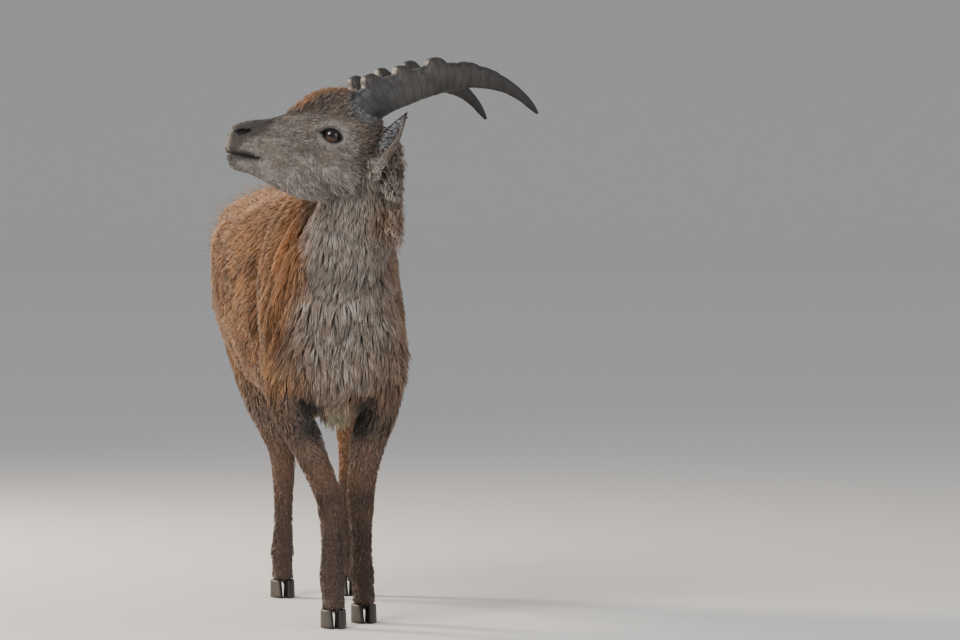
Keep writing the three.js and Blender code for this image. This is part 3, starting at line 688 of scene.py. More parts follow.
# %% Line and knobs of a horn
HORN = [  # ahead, left, up, half its depth, half its width
    (-65, 27, 20, 33, 23), (-79, 32, 41, 33, 24), (-115, 39, 63, 32.7, 24), (-153, 48, 76, 30, 22),
    (-194, 58, 89, 28, 20.5), (-232, 70, 96, 25.5, 18.5), (-266, 82, 97, 22, 16),
    (-298, 96, 89, 17.4, 13.5), (-327, 107, 76, 12.6, 10.5), (-352, 116, 57, 8.8, 7.8),
    (-366, 121, 42, 6.6, 6), (-378, 125, 27, 2.6, 2.6)]
KNOBS = [  # place along the rows above, height, reach
    (1.7, 17, 0.27), (2.95, 14, 0.29), (4.35, 13, 0.38), (5.8, 2.5, 0.4), (6.9, 1.5, 0.4)]


def horn_body(sign):
    centres = np.array([in_head(f, sign * l, u) for f, l, u, _, _ in HORN])
    outward = left * sign
    rows = []
    for i, (_, _, _, deep, wide) in enumerate(HORN):
        run = centres[min(i + 1, len(HORN) - 1)] - centres[max(i - 1, 0)]
        up = unit(np.cross(run, outward))
        if up @ crown < 0:
            up = -up
        rows.append(section(centres[i], outward, up, wide, deep, deep, 0, 2.6, 1.9))
    return np.array(rows)


def knobs_at(s):
    """A knob rises steeply on the side of the head and falls off gently behind."""
    knob = 0
    for at, high, reach in KNOBS:
        away = (s - at) / reach
        knob = knob + high * np.exp(-(np.abs(np.where(away < 0, away * 1.15, away * 0.9)) ** 4.2))
    return knob


def growth_lines(along, angle):
    """Close waves that wander round the horn, and deeper ones now and then."""
    wander = 1.6 * np.sin(angle * 2 + along / 40) + 1.1 * np.sin(angle * 3 + 1 + along / 23)
    line = along + wander
    turn = line * 2 * math.pi
    fine = np.sin(turn / 4.3 + 2.2 * np.sin(line / 9)) * (0.55 + 0.45 * np.sin(line / 6.3))
    coarse = np.maximum(np.sin(turn / 15 + 2.4 * np.sin(line / 26)), 0) ** 4
    return fine, coarse


# %% Horns
def make_horn(sign, name):
    body = horn_body(sign)
    shape = rings, around = 330, 46
    s = np.linspace(0, len(body) - 1, rings)[:, None]
    angle = round_angles(around)
    centre, side, up = measures(body, s.ravel())[:3]
    knob = knobs_at(s)
    facing = smooth(0.2, 0.98, np.sin(angle)) * 0.85 + 0.15 * np.maximum(np.sin(angle), 0) ** 0.6
    points = on_body(body, s, angle) + up[:, None] * (knob * facing)[..., None]
    points = points + side[:, None] * (0.22 * knob * np.cos(angle) * facing)[..., None]
    flat = points.reshape(-1, 3)

    def grain(size, seed):
        return waves(flat, size, seed).reshape(shape)

    step = np.linalg.norm(np.diff(centre, axis=0), axis=1)
    along = np.concatenate([[0], np.cumsum(step)])[:, None]
    fine, coarse = growth_lines(along, angle)
    strength = (1 - smooth(5.5, 9.5, s)) * 0.9 + 0.1
    ring = (0.34 * fine - 0.8 * coarse) * strength
    chips = 0.5 * grain(9, 5) + 0.35 * grain(4, 6)
    points = points + unit(points - centre[:, None]) * (ring + chips * strength)[..., None]
    thing = mesh_object(name, points.reshape(-1, 3), tube_faces(rings, around))
    shade = 0.52 + 0.2 * fine * strength - 0.42 * coarse * strength + 0.12 * grain(22, 7)
    share = along / along.max()
    for key, value in (("line", shade), ("along", share), ("knob", np.clip(knob / 15 * facing, 0, 1))):
        give_number(thing, key, *over_grid(shape, value))
    give_grid_map(thing, shape, angle / (2 * math.pi), share)
    return thing


for sign, side_name in SIDES:
    horn = make_horn(sign, "horn_" + side_name + "_shape")
    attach(horn, "root")
    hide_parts("horn_" + side_name)
    print(horn.name, "faces:", len(horn.data.polygons))

# %% [markdown]
# ## Ears
# An ear is a leaf rolled into a cup, open to the front and side. Both of its walls and its rolled
# edge are one mesh.

# %% Ears
EAR_WIDTHS = np.array([10, 18, 22.5, 25.5, 26.5, 24.5, 18.5, 11, 2.2])
EAR_ARCS = np.radians([165, 140, 118, 104, 95, 88, 80, 72, 60])
EAR_WALL = 2.0
EAR_LIP = 0.9


def ear_frame(sign):
    root = in_head(-82, sign * 56, -78)
    tip = in_head(-136, sign * 88, 30)
    along = unit(tip - root)
    opening = headward(1, sign * 0.16, 0.2)
    opening = unit(opening - along * (opening @ along))
    return root, tip, along, opening, np.cross(along, opening)


def ear_point(sign, t, share, wall):
    """t runs from root to tip, share from -1 to 1 round the cup. wall is how far inside it lies."""
    root, tip, along, opening, across = ear_frame(sign)
    t, share, wall = np.broadcast_arrays(t, share, wall)
    row = t.ravel() * (len(EAR_WIDTHS) - 1)
    width = np.maximum(spline(EAR_WIDTHS[:, None], row).reshape(t.shape), 1.4)
    angle = share * spline(EAR_ARCS[:, None], row).reshape(t.shape)
    ridges = 0.7 * np.sin(angle * 7 + 1) * (wall > 0) * np.sin(t * math.pi)
    radius = np.maximum(width - wall, 0.4 * width) - ridges
    centre = root + along * (t * np.linalg.norm(tip - root))[..., None]
    centre = centre + opening * (9 * np.sin(t * math.pi))[..., None]
    return (centre + across * (np.sin(angle) * radius)[..., None]
            - opening * (np.cos(angle) * radius * 0.72)[..., None])


def make_ear(sign, name):
    rings, spread = 90, 30
    t = np.linspace(0, 1, rings)[:, None]
    share = np.linspace(-1, 1, spread)[None, :]
    outer = ear_point(sign, t, share, 0.0)
    inner = ear_point(sign, t, share[:, ::-1] * 0.985, EAR_WALL * (1 - 0.5 * t))
    edge = unit(np.concatenate([outer[:, -1:] - outer[:, -2:-1], outer[:, :1] - outer[:, 1:2]], 1))
    far = (outer[:, -1:] + inner[:, :1]) / 2 + edge[:, :1] * EAR_LIP
    close = (outer[:, :1] + inner[:, -1:]) / 2 + edge[:, 1:] * EAR_LIP
    points = np.concatenate([outer, far, inner, close], 1)
    shape = points.shape[:2]
    thing = mesh_object(name, points.reshape(-1, 3), tube_faces(*shape))
    inside = np.repeat([0, 1, 0], [spread + 1, spread, 1])
    edge_share = np.abs(np.concatenate([share[0], [1], -share[0], [-1]]))
    for key, value in (("inside", inside), ("edge", edge_share), ("along", t)):
        give_number(thing, key, *over_grid(shape, value))
    give_grid_map(thing, shape, np.linspace(0, 1, shape[1]), t)
    return thing


for sign, side_name in SIDES:
    ear = make_ear(sign, "ear_" + side_name + "_shape")
    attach(ear, "root")
    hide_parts("ear_" + side_name)
print("ears made")

# %% [markdown]
# ## Eyes
# The eyeball is a plain sphere with a low clear bulge over the iris. The pupil of a goat is a slot
# that lies level with the ground. The gloss comes from a clear coat over the colours.

# %% Eyes
def make_eye(sign, name):
    shape = rings, around = 72, 64
    theta = np.linspace(0.004, math.pi - 0.004, rings)[:, None]
    phi = round_angles(around)
    swell = 1 + 0.035 * (1 - smooth(0.55, 0.95, theta))
    local = np.stack([np.sin(theta) * np.cos(phi), np.sin(theta) * np.sin(phi),
                      np.cos(theta) * swell + 0 * phi], -1).reshape(-1, 3) * EYE_RADIUS
    thing = mesh_object(name, eye_place(sign) + local @ eye_axes(sign), tube_faces(rings, around))
    give_number(thing, "level", local[:, 0])
    give_number(thing, "across", -sign * local[:, 1])
    shrink = theta / math.pi * 0.5
    give_grid_map(thing, shape, 0.5 + shrink * np.cos(phi), 0.5 + shrink * np.sin(phi))
    return thing


for sign, side_name in SIDES:
    eye = make_eye(sign, "eye_" + side_name + "_shape")
    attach(eye, "root")
    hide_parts("eye_" + side_name)
print("eyes made")

# %% [markdown]
# ## Hooves
# Each foot has two claws of dark horn with a rounded coronet, a flat sole and fine rings. Two small
# dewclaws sit behind the fetlock.

# %% Hooves
CLAW_HEIGHT, CLAW_LONG, CLAW_HALF = 33.6, 64, 12
CLAW_RINGS = 62  # turns of the growth lines' wave, as an angle from sole to coronet


def make_claw(foot_x, foot_y, side, name):
    shape = rings, around = 40, 56
    z = np.linspace(0, 1, rings)[:, None]
    angle = round_angles(around)
    reach = np.interp(z, [0, 0.03, 0.15, 1], [0.955, 1.0, 1.01, 0.76])
    half = np.interp(z, [0, 0.03, 0.15, 0.9, 1], [0.93, 1.0, 1.02, 0.94, 0.86])
    toe = (1 - np.cos(angle)) / 2
    taper = 1 - 0.45 * toe**2
    lean = (1 - z) * 3 * toe
    ring = 0.22 * np.sin(z * CLAW_RINGS + 0.7 * np.sin(angle * 2)) * smooth(0.03, 0.1, z)
    x = foot_x + side * (13.6 - lean * 0.5 - 4 * toe**2) + np.sin(angle) * (CLAW_HALF * half * taper + ring)
    y = foot_y + 26 - toe * CLAW_LONG * reach - ring * np.cos(angle)
    points = np.stack([x, y, z * CLAW_HEIGHT + 0 * angle], -1)
    thing = mesh_object(name, points.reshape(-1, 3), tube_faces(rings, around))
    give_number(thing, "line", *over_grid(shape, np.sin(z * CLAW_RINGS)))
    give_grid_map(thing, shape, angle / (2 * math.pi), z)
    return thing


def make_dewclaw(place, out, name):
    axes = np.array([unit(np.cross(out, Z)), unit(Z * 0.8 + out * -0.3), out])
    axes[1] = unit(axes[1] - axes[2] * (axes[1] @ axes[2]))
    shape = rings, around = 24, 28
    grid = ball(place, axes, (5.5, 9, 6), rings, around)
    thing = mesh_object(name, grid.reshape(-1, 3), tube_faces(rings, around))
    give_number(thing, "line", np.zeros(rings * around))
    give_grid_map(thing, shape, np.linspace(0, 1, around), np.linspace(0, 1, rings)[:, None])
    return thing


for leg_name, rows in LEG_SIZES.items():
    kind, side_name = leg_name.split("leg_")
    sign = 1 if side_name == "left" else -1
    foot_x, foot_y = rows[-1][:2]
    for place, side in (("outer", sign), ("inner", -sign)):
        claw = make_claw(foot_x, foot_y, side, f"claw_{kind}_{side_name}_{place}")
        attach(claw, "root")
        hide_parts(f"hoof_{kind}_{side_name}_{place}")
    fetlock = rows[-4]
    for side, place in SIDES:
        out = unit([side * 0.45, 1, -0.1])
        behind = np.array([fetlock[0] + side * 11, fetlock[1] + fetlock[4] - 10, fetlock[2] - 14])
        dew = make_dewclaw(behind, out, f"dewclaw_{kind}_{side_name}_{place}")
        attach(dew, "root")
print("hooves made")

# %% [markdown]
# ## Where each place of the skin lies
# The coat's length, lie and colour change from part to part. Each point of the skin is given the
# nearest part's name, how far along it lies and the angle round it. The same numbers unroll the skin
# into flat tiles, one for each part, as a tanner would cut it open along the back of each part.

# %% Find the part of every point
PARTS = {
    "trunk": ["trunk", "breast", "shoulder_right", "shoulder_left"],
    **{name: [name] for name in ("neck", "head", *LEG_SIZES, "tail")}}
PART_NAMES = list(PARTS)
TILES = {
    "trunk": (0.0, 0.0, 0.62, 0.5), "neck": (0.64, 0.0, 1.0, 0.5), "head": (0.0, 0.52, 0.4, 1.0),
    "foreleg_right": (0.42, 0.52, 0.55, 1.0), "foreleg_left": (0.56, 0.52, 0.69, 1.0),
    "hindleg_right": (0.70, 0.52, 0.81, 1.0), "hindleg_left": (0.82, 0.52, 0.93, 1.0),
    "tail": (0.94, 0.52, 1.0, 1.0)}

samples, sample_part = [], []
for number, name in enumerate(PART_NAMES):
    for body_name in PARTS[name]:
        body, steps, around = BODIES[body_name]
        grid = grid_of(body, steps * 2, around).reshape(-1, 3)
        samples.append(grid)
        sample_part += [number] * len(grid)
samples = np.concatenate(samples)
sample_part = np.array(sample_part)
sample_tree = KDTree(len(samples))
for i, p in enumerate(samples):
    sample_tree.insert(p, i)
sample_tree.balance()
print("sample points:", len(samples))


# %% Places along and round each part
def centre_line(body, points, steps=160):
    """How far along a body each point lies, 0 to 1, with the centre, side and up there."""
    s = np.linspace(0, len(body) - 1, steps)
    centre, side, up = measures(body, s)[:3]
    run = unit(np.gradient(centre, axis=0))
    nearest = np.zeros(len(points), int)
    best = np.full(len(points), np.inf)
    for i in range(steps):
        away = points - centre[i]
        score = np.linalg.norm(away, axis=1) + 2.2 * np.abs(away @ run[i])
        closer = score < best
        best[closer] = score[closer]
        nearest[closer] = i
    i = nearest
    step = np.linalg.norm(np.gradient(centre, axis=0), axis=1)
    shift = dot(points - centre[i], run[i]) / step[i]
    along = np.clip((i + shift) / (steps - 1), 0, 1)
    return along, centre[i], side[i], up[i]


def unroll(points, part_numbers):
    """Flat places of points on the unrolled skin."""
    flat = np.zeros((len(points), 2))
    for number, name in enumerate(PART_NAMES):
        mine = part_numbers == number
        if not mine.any():
            continue
        along, centre, side, up = centre_line(BODIES[name][0], points[mine])
        away = points[mine] - centre
        turn = np.arctan2(dot(away, side), -dot(away, up)) / (2 * math.pi) + 0.5
        low_u, low_v, high_u, high_v = TILES[name]
        flat[mine, 0] = low_u + (high_u - low_u) * turn
        flat[mine, 1] = low_v + (high_v - low_v) * along
    return flat


skin_points = mesh_points(skin)
skin_parts = sample_part[[sample_tree.find(p)[1] for p in skin_points.tolist()]]
skin_flat = unroll(skin_points, skin_parts)
print("points in each part:", {name: int((skin_parts == i).sum()) for i, name in enumerate(PART_NAMES)})


# %% Flat map of the skin
def unroll_skin_map():
    """Gives the skin its UV map. A face that crosses a cut is kept whole at one side of its tile."""
    corner, count, start = face_corners(skin.data)
    part = skin_parts[np.repeat(corner[start], count)]
    other = skin_parts[corner] != part
    flat = skin_flat[corner].copy()
    if other.any():
        flat[other] = unroll(skin_points[corner[other]], part[other])
    width = np.array([TILES[name][2] - TILES[name][0] for name in PART_NAMES])[part]
    anchor = flat[np.repeat(start, count), 0]
    flat[:, 0] -= np.round((flat[:, 0] - anchor) / width) * width
    give_map(skin, np.clip(flat, 0, 1))
    print("corners that cross a cut:", int(other.sum()))


unroll_skin_map()

# %% [markdown]
# ## Colours of the coat
# The markings are kept in one function of place, so that skin and hair carry the same ones: a warm
# tan trunk, a grey neck and breast, dark brown legs, a grey-brown face with a dark bridge of the nose,
# a pale ring round each eye and a pale belly. Light and shade are painted in with them: sunlight on the
# right of the neck and on the inside of the left hind leg, shade over the left side, in the hollows
# between breast and forelegs, in the lid creases, the nostrils and the mouth's line. Tones are laid
# one over the other, each with its share.

# %% Tones
def tone(red, green, blue):
    """A colour from the usual 0 to 255 numbers, as light values."""
    c = np.array([red, green, blue]) / 255
    return np.where(c <= 0.04045, c / 12.92, ((c + 0.055) / 1.055) ** 2.4)


def mix(colour, other, share):
    return colour + (other - colour) * np.asarray(share)[:, None]


def plain(numbers, count):
    return np.tile(tone(*numbers), (count, 1))


def lay(colour, *layers):
    """Lays tones over a colour. Each layer is the three numbers of a tone and its share."""
    for numbers, share in layers:
        colour = mix(colour, tone(*numbers), share)
    return colour


# %% Markings of the body
def leg_markings(z, soft, under):
    """Tone of the legs, darker and redder downwards, and its share."""
    leg = (1 - smooth(385, 470, z + 16 * soft)) * (1 - under)
    colour = lay(
        plain((114, 92, 76), len(z)),
        ((108, 78, 58), 1 - smooth(270, 360, z)),
        ((74, 54, 43), 1 - smooth(150, 270, z + 14 * soft)))
    return colour, leg


def body_marks_and_painted_light(points):
    x, y, z = points.T
    soft = waves(points, 45, 71)
    fine = waves(points, 14, 75)
    under = (1 - smooth(400, 440, z + 8 * soft)) * (1 - smooth(60, 100, np.abs(x + 10)))
    under = under * smooth(-200, -140, y) * (1 - smooth(270, 310, y)) * smooth(345, 365, z)
    # painted shade: a greyer, cooler tone over the left side of the trunk, most towards the front
    shaded_left_side = smooth(30, 110, x) * (1 - smooth(-110, 110, y + 20 * soft)) * smooth(400, 470, z)
    front = 1 - smooth(-392, -306, y + 14 * soft + 0.3 * np.maximum(-x - 40, 0))
    on_neck = smooth(680, 760, z) * (1 - smooth(-330, -290, y))
    # painted sunlight: a warmer, orange tone on the right side of the neck and shoulder
    sunlit_neck_side = (1 - smooth(-78, -46, x + 7 * fine)) * smooth(600, 670, z) * (1 - smooth(775, 800, z))
    sunlit_neck_side = sunlit_neck_side * (1 - smooth(-300, -240, y))
    on_nape = on_neck * smooth(40, 60, x) * smooth(720, 760, z)
    colour = lay(
        plain((144, 102, 65), len(points)),
        ((168, 130, 90), smooth(760, 830, z + 12 * soft) * 0.6),    # back
        ((104, 68, 40), smooth(0.0, 0.9, soft) * 0.6),    # darker patches
        ((172, 132, 86), smooth(0.1, 0.9, -waves(points, 90, 74)) * 0.45),    # paler patches
        ((190, 168, 134), under * 0.9),    # belly
        # painted shade on the left side
        ((134, 112, 94), shaded_left_side * 0.85),
        ((84, 52, 30), smooth(-0.05, 0.6, waves(points, 24, 78)) * 0.55),    # mottling
        # grey breast and neck, with pale and dark flecks
        ((140, 130, 121), front * 0.95),
        ((190, 184, 176), smooth(0.0, 0.8, fine) * front * 0.55),
        ((96, 84, 76), smooth(0.2, 0.9, -fine - 0.3 * soft) * front * 0.5),
        ((140, 128, 118), on_neck * 0.5),
        # painted sunlight on the right side of the neck
        ((164, 112, 68), sunlit_neck_side * 0.8),
        # browner to the nape, with pale curls on it
        ((124, 102, 84), on_neck * smooth(26, 50, x + 6 * fine) * 0.85),
        ((92, 72, 56), on_neck * smooth(50, 68, x + 8 * fine) * smooth(730, 770, z) * 0.8),
        ((190, 168, 142), on_nape * smooth(0.1, 0.7, waves(points, 11, 77)) * 0.75))
    leg_colour, leg = leg_markings(z, soft, under)
    # painted sunlight: a bright orange patch on the inner side of the left hind leg, near the hock
    sunlit_hind_inner = bell((x - 82, 26)) * smooth(300, 340, y) * smooth(200, 280, z) * leg
    colour = lay(mix(colour, leg_colour, leg), ((176, 118, 66), sunlit_hind_inner * 0.6))
    for knee in ((-26, -345, 232), (50, -262, 232)):
        near = bell((x - knee[0], 26), (y - knee[1], 22), (z - knee[2], 24))
        colour = lay(colour, ((46, 36, 31), near * 0.8))
    # painted shade in the hollows between breast and forelegs, the pale tuft of the brisket and the dark
    # tail
    hollow = smooth(-345, -325, y) * (1 - smooth(-250, -200, y))
    hollow = hollow * smooth(330, 370, z) * (1 - smooth(430, 462, z))
    hollow = hollow * (bell((x + 54, 30)) + bell((x - 52, 22)))
    brisket = bell((x + 1, 30), (y + 322, 50), (z - 394, 26))
    return lay(
        colour,
        ((36, 29, 26), np.clip(hollow * 1.3, 0, 1) * 0.92),
        ((186, 176, 146), np.clip(brisket * 1.5, 0, 1) * 0.9),
        ((70, 52, 40), smooth(455, 480, y) * smooth(560, 600, z) * 0.85))


# %% Markings of the head
def collar_of(points):
    """1 in the collar of hair round the foot of each horn, 0 away from it."""
    gaps = [np.linalg.norm(points - in_head(-66, sign * 31, 38), axis=1) for sign in (-1, 1)]
    return 1 - smooth(26, 40, np.minimum(*gaps))


def head_marks_and_painted_shade(points):
    f, l, u = head_numbers(points).T
    side = np.abs(l)
    flecks = waves(points, 7, 76)
    forehead = smooth(10, 34, u - 0.25 * np.maximum(f, 0)) * (1 - smooth(56, 84, f))
    bridge = smooth(-12, 16, f - 86 - 1.3 * (18 - u)) * smooth(-22, -4, u)
    pad = smooth(146, 164, f + 0.4 * (u + 20)) * smooth(-42, -30, u)
    head = lay(
        plain((134, 124, 115), len(points)),
        ((104, 90, 78), smooth(-0.3, 0.9, waves(points, 26, 73)) * 0.55),
        ((84, 74, 66), smooth(0.15, 0.8, flecks) * 0.5),
        ((172, 166, 160), smooth(0.15, 0.8, -flecks) * smooth(10, -30, u) * 0.5),
        ((164, 158, 152), (1 - smooth(-90, -50, u)) * smooth(-50, 20, f) * 0.5),    # cheek
        ((104, 84, 68), (1 - smooth(-62, -34, f)) * smooth(-60, -20, u) * 0.7),    # behind the eye
        # grey-brown frizz of the forehead, rusty along its ridge, and the collars of the horns
        ((98, 80, 68), forehead * 0.75),
        ((150, 104, 70), forehead * (1 - smooth(10, 30, side)) * smooth(-60, -40, f) * 0.85),
        ((158, 148, 138), smooth(24, 40, u) * (1 - smooth(-58, -44, f)) * 0.7),
        ((100, 103, 108), collar_of(points) * 0.8),
        # dark bridge and pad, pale upper lip and chin, dark lower lip
        ((58, 50, 48), bridge * 0.9),
        ((62, 55, 52), pad * 0.85),
        ((158, 150, 142), bell((u + 34, 6)) * smooth(126, 140, f) * (1 - smooth(158, 172, f)) * 0.6),
        ((160, 154, 148), (1 - smooth(-60, -48, u)) * smooth(96, 124, f) * 0.7),
        ((62, 60, 62), smooth(158, 176, f - 0.3 * (u + 50)) * (1 - smooth(-46, -38, u)) * 0.8))
    for sign in (-1, 1):
        head = eye_marks_and_lid_shade(head, *eye_numbers(points, sign))
    # painted shade in the nostrils and along the mouth's line
    return lay(head, ((24, 20, 20), mouth_and_nostrils(f, side, u)))


def eye_marks_and_lid_shade(head, x, y, z):
    """Pale ring, painted shade in the crease of the lid, and dark rim and tear duct, from places in an
    eye's own axes.
    """
    facing = smooth(-8, 0, z)
    around = np.sqrt(x**2 + (y * 1.15) ** 2)
    pale = bell((around - 25, 6.0)) * facing * (0.3 + 0.7 * smooth(8, -12, x))
    # painted shade in the crease above the upper lid
    lid_crease_shade = bell((around - 33, 2.6)) * facing * smooth(2, -12, y)
    duct = bell((x - 22, 7), (y + 2 + 0.2 * (x - 16), 3.0)) * facing
    rim = (1 - smooth(1.25, 1.9, almond(x, y))) * facing
    return lay(
        head,
        ((172, 168, 166), pale * 0.48),
        ((80, 72, 68), lid_crease_shade * 0.5),
        ((26, 20, 19), np.clip(rim + 0.55 * duct, 0, 1)))


def mouth_and_nostrils(f, side, u):
    """Share of the painted shade in the nostrils and along the mouth's line, where the band is partly the
    dark lip and partly painted shadow under the upper lip.
    """
    # the band is widest in the middle of the line, where it paints the shadow under the overhanging upper
    # lip
    thick = 2.6 + 7.0 * bell((f - 156, 20))
    line = bell((near_curve(f, u, MOUTH, 24), thick)) * smooth(118, 126, f)
    hole = ((f - 160) / 14) ** 2 + ((u + 0.5 + 0.012 * (f - 160) ** 2) / 5.6) ** 2
    return np.clip(line + (1 - smooth(0.5, 1.3, hole)) * smooth(14, 20, side), 0, 1)


# %% Paint the skin
def markings(points):
    f, _, u = head_numbers(points).T
    on_head = smooth(150, 120, np.linalg.norm(points - in_head(20, 0, -10), axis=1) * 0.74)
    on_head = on_head * smooth(-135, -118, f) * (1 - smooth(0, 40, -u - 112 + 0.2 * np.maximum(f, 0)))
    colour = mix(body_marks_and_painted_light(points), head_marks_and_painted_shade(points), on_head)
    return np.clip(colour * (1 + 0.07 * waves(points, 12, 72)[:, None]), 0.002, 0.9)


# painted shade deep in the nostrils and the mouth's groove
shade_in_holes = np.maximum(face_marks["nostril"], 0.9 * smooth(0.35, 0.8, face_marks["mouth"]))
skin_colour = lay(markings(skin_points), ((20, 14, 13), shade_in_holes))
give_colour(skin, "marking", skin_colour)
print("markings painted on", len(skin_points), "points")

# %% [markdown]
# ## Roots of the coat
# A coat is thousands of tufts, each a few hairs that cling together. Their roots are spread evenly
# over the skin's faces, and each root keeps the skin's own direction, colour and place there.

# %% Triangles of the skin
def skin_triangles():
    mesh = skin.data
    mesh.calc_loop_triangles()
    corners = np.empty(len(mesh.loop_triangles) * 3, np.int32)
    mesh.loop_triangles.foreach_get("vertices", corners)
    return corners.reshape(-1, 3)


triangles = skin_triangles()
skin_normals = mesh_normals(skin)
tri_part = skin_parts[triangles[:, 0]]
tri_corners = skin_points[triangles]
tri_middle = tri_corners.mean(axis=1)
edges = tri_corners[:, 1:] - tri_corners[:, :1]
tri_area = np.linalg.norm(np.cross(edges[:, 0], edges[:, 1]), axis=1) / 2
bare_skin = np.zeros(len(skin_points))
for sign in (-1, 1):
    x, y, z = eye_numbers(skin_points, sign)
    bare_skin[(almond(x, y) < 1.6) & (z > -8)] = 1
nose_f, _, nose_u = head_numbers(skin_points).T
for also_bare in (smooth(0.3, 0.6, face_marks["nostril"]), smooth(0.4, 0.8, face_marks["mouth"]),
                  smooth(166, 172, nose_f) * smooth(-26, -20, nose_u)):
    bare_skin = np.maximum(bare_skin, also_bare)
print("skin area in square metres:", round(float(tri_area.sum()) / 1e6, 3))


# %% Roots
def roots_where(chosen, spacing, seed):
    """Roots spread evenly over the chosen triangles, with about spacing millimetres between them."""
    random = np.random.default_rng(seed)
    index = np.flatnonzero(chosen)
    total = np.cumsum(tri_area[index] / (spacing * spacing))
    count = int(total[-1])
    places = (np.arange(count) + random.uniform(0.1, 0.9, count)) * total[-1] / count
    tri = triangles[index[np.searchsorted(total, places).clip(0, len(index) - 1)]]
    a, b = random.random((2, count))
    over = a + b > 1
    a[over], b[over] = 1 - a[over], 1 - b[over]
    weight = np.stack([1 - a - b, a, b], -1)[..., None]
    return {
        "at": (skin_points[tri] * weight).sum(axis=1),
        "normal": unit((skin_normals[tri] * weight).sum(axis=1)),
        "colour": (skin_colour[tri] * weight).sum(axis=1),
        "part": skin_parts[tri[:, 0]],
        "flat": skin_flat[tri[:, 0]] + random.uniform(-0.001, 0.001, (count, 2)),
        "bare": bare_skin[tri].max(axis=1),
    }


def keep(roots, chosen):
    return {name: values[chosen] for name, values in roots.items()}


# %% [markdown]
# ## Lie of the coat
# Hair lies from the nose back over the face, down the neck and legs, and back and down over the
# trunk. It turns a little here and there, as it does on a real coat that the wind has moved.

# %% Lie
def runs_of(name, points):
    """The way a part runs beside each point, from its first ring to its last."""
    body = BODIES[name][0]
    s = centre_line(body, points)[0] * (len(body) - 1)
    after, before = (measures(body, np.clip(s + step, 0, len(body) - 1))[0] for step in (0.15, -0.15))
    return unit(after - before)


def lie_of_trunk(points):
    y = points[:, 1]
    back = smooth(-330, -150, y)[:, None]
    rear = smooth(330, 460, y)[:, None]
    way = (1 - back) * np.array([0, 0.15, -1]) + back * np.array([0, 0.6, -0.8])
    return way * (1 - rear) + rear * np.array([0, 0.3, -1])


def lie_of_head(points):
    f, _, u = head_numbers(points).T
    down = (smooth(0, -50, u) * smooth(-90, -30, f))[:, None]
    way = -ahead * (1 - 0.35 * down) - 0.95 * down * crown + (1 - down) * 0.1 * crown
    collar = collar_of(points)[:, None]
    return way * (1 - collar) + collar * headward(-0.6, 0, -0.8)


def lie_of(roots, seed=5):
    points, normal = roots["at"], roots["normal"]
    lie = np.zeros((len(points), 3))
    for number, name in enumerate(PART_NAMES):
        mine = roots["part"] == number
        if not mine.any():
            continue
        if name == "trunk":
            lie[mine] = lie_of_trunk(points[mine])
        elif name == "neck":
            lie[mine] = -runs_of(name, points[mine]) + [0, 0, -0.5]
        elif name == "head":
            lie[mine] = lie_of_head(points[mine])
        else:
            lie[mine] = runs_of(name, points[mine]) + [0, 0.1, 0]
    lie = unit(lie - normal * dot(lie, normal)[:, None] * 0.98)
    turn = 0.4 * waves(points, 70, seed) + 0.22 * waves(points, 22, seed + 1)
    return turned(lie, np.cross(normal, lie), turn)


def turned(way, side, angle):
    """Directions turned by an angle towards side."""
    return unit(way * np.cos(angle)[:, None] + side * np.sin(angle)[:, None])


# %% [markdown]
# ## Tufts
# Every tuft is a thin, tapered sliver: flat towards the skin, with a low ridge along its back. It
# leaves the skin at a slant and bends down to lie along the coat. Its tip is drawn towards the
# middle of its clump, which makes the soft, woolly look.

# %% Clumps
def clumps_of(roots, lie, size, seed):
    """For each tuft, the tuft in the middle of its clump. Clumps are longer along the hair."""
    random = np.random.default_rng(seed)
    main = unit(lie.mean(axis=0))
    at = roots["at"] - 0.55 * dot(roots["at"], main)[:, None] * main
    heads = random.permutation(len(at))[:max(len(at) // size, 1)]
    tree = KDTree(len(heads))
    for i in heads.tolist():
        tree.insert(at[i], i)
    tree.balance()
    return np.array([tree.find(p)[1] for p in at.tolist()])


def drawn_to(tips, heads, most):
    """How far each tip must move to reach the tip at the middle of its clump."""
    pull = tips[heads] - tips
    far = np.linalg.norm(pull, axis=1, keepdims=True)
    return pull * np.minimum(1, most / np.maximum(far, 1e-6))


# %% Mesh of many tufts
PATCH = 0.003  # size of a tuft's own patch on the flat map
coat_count = {}


def tuft_faces(rings):
    """Corners of a tuft's sides, in fours, and of its tip and foot, in threes."""
    quads = [(3 * r + j, 3 * r + (j + 1) % 3, 3 * r + (j + 1) % 3 + 3, 3 * r + j + 3)
             for r in range(rings - 1) for j in range(3)]
    last = 3 * rings - 3
    tips = [(last + j, last + (j + 1) % 3, last + 3) for j in range(3)]
    return np.array(quads), np.array(tips + [(2, 1, 0)])


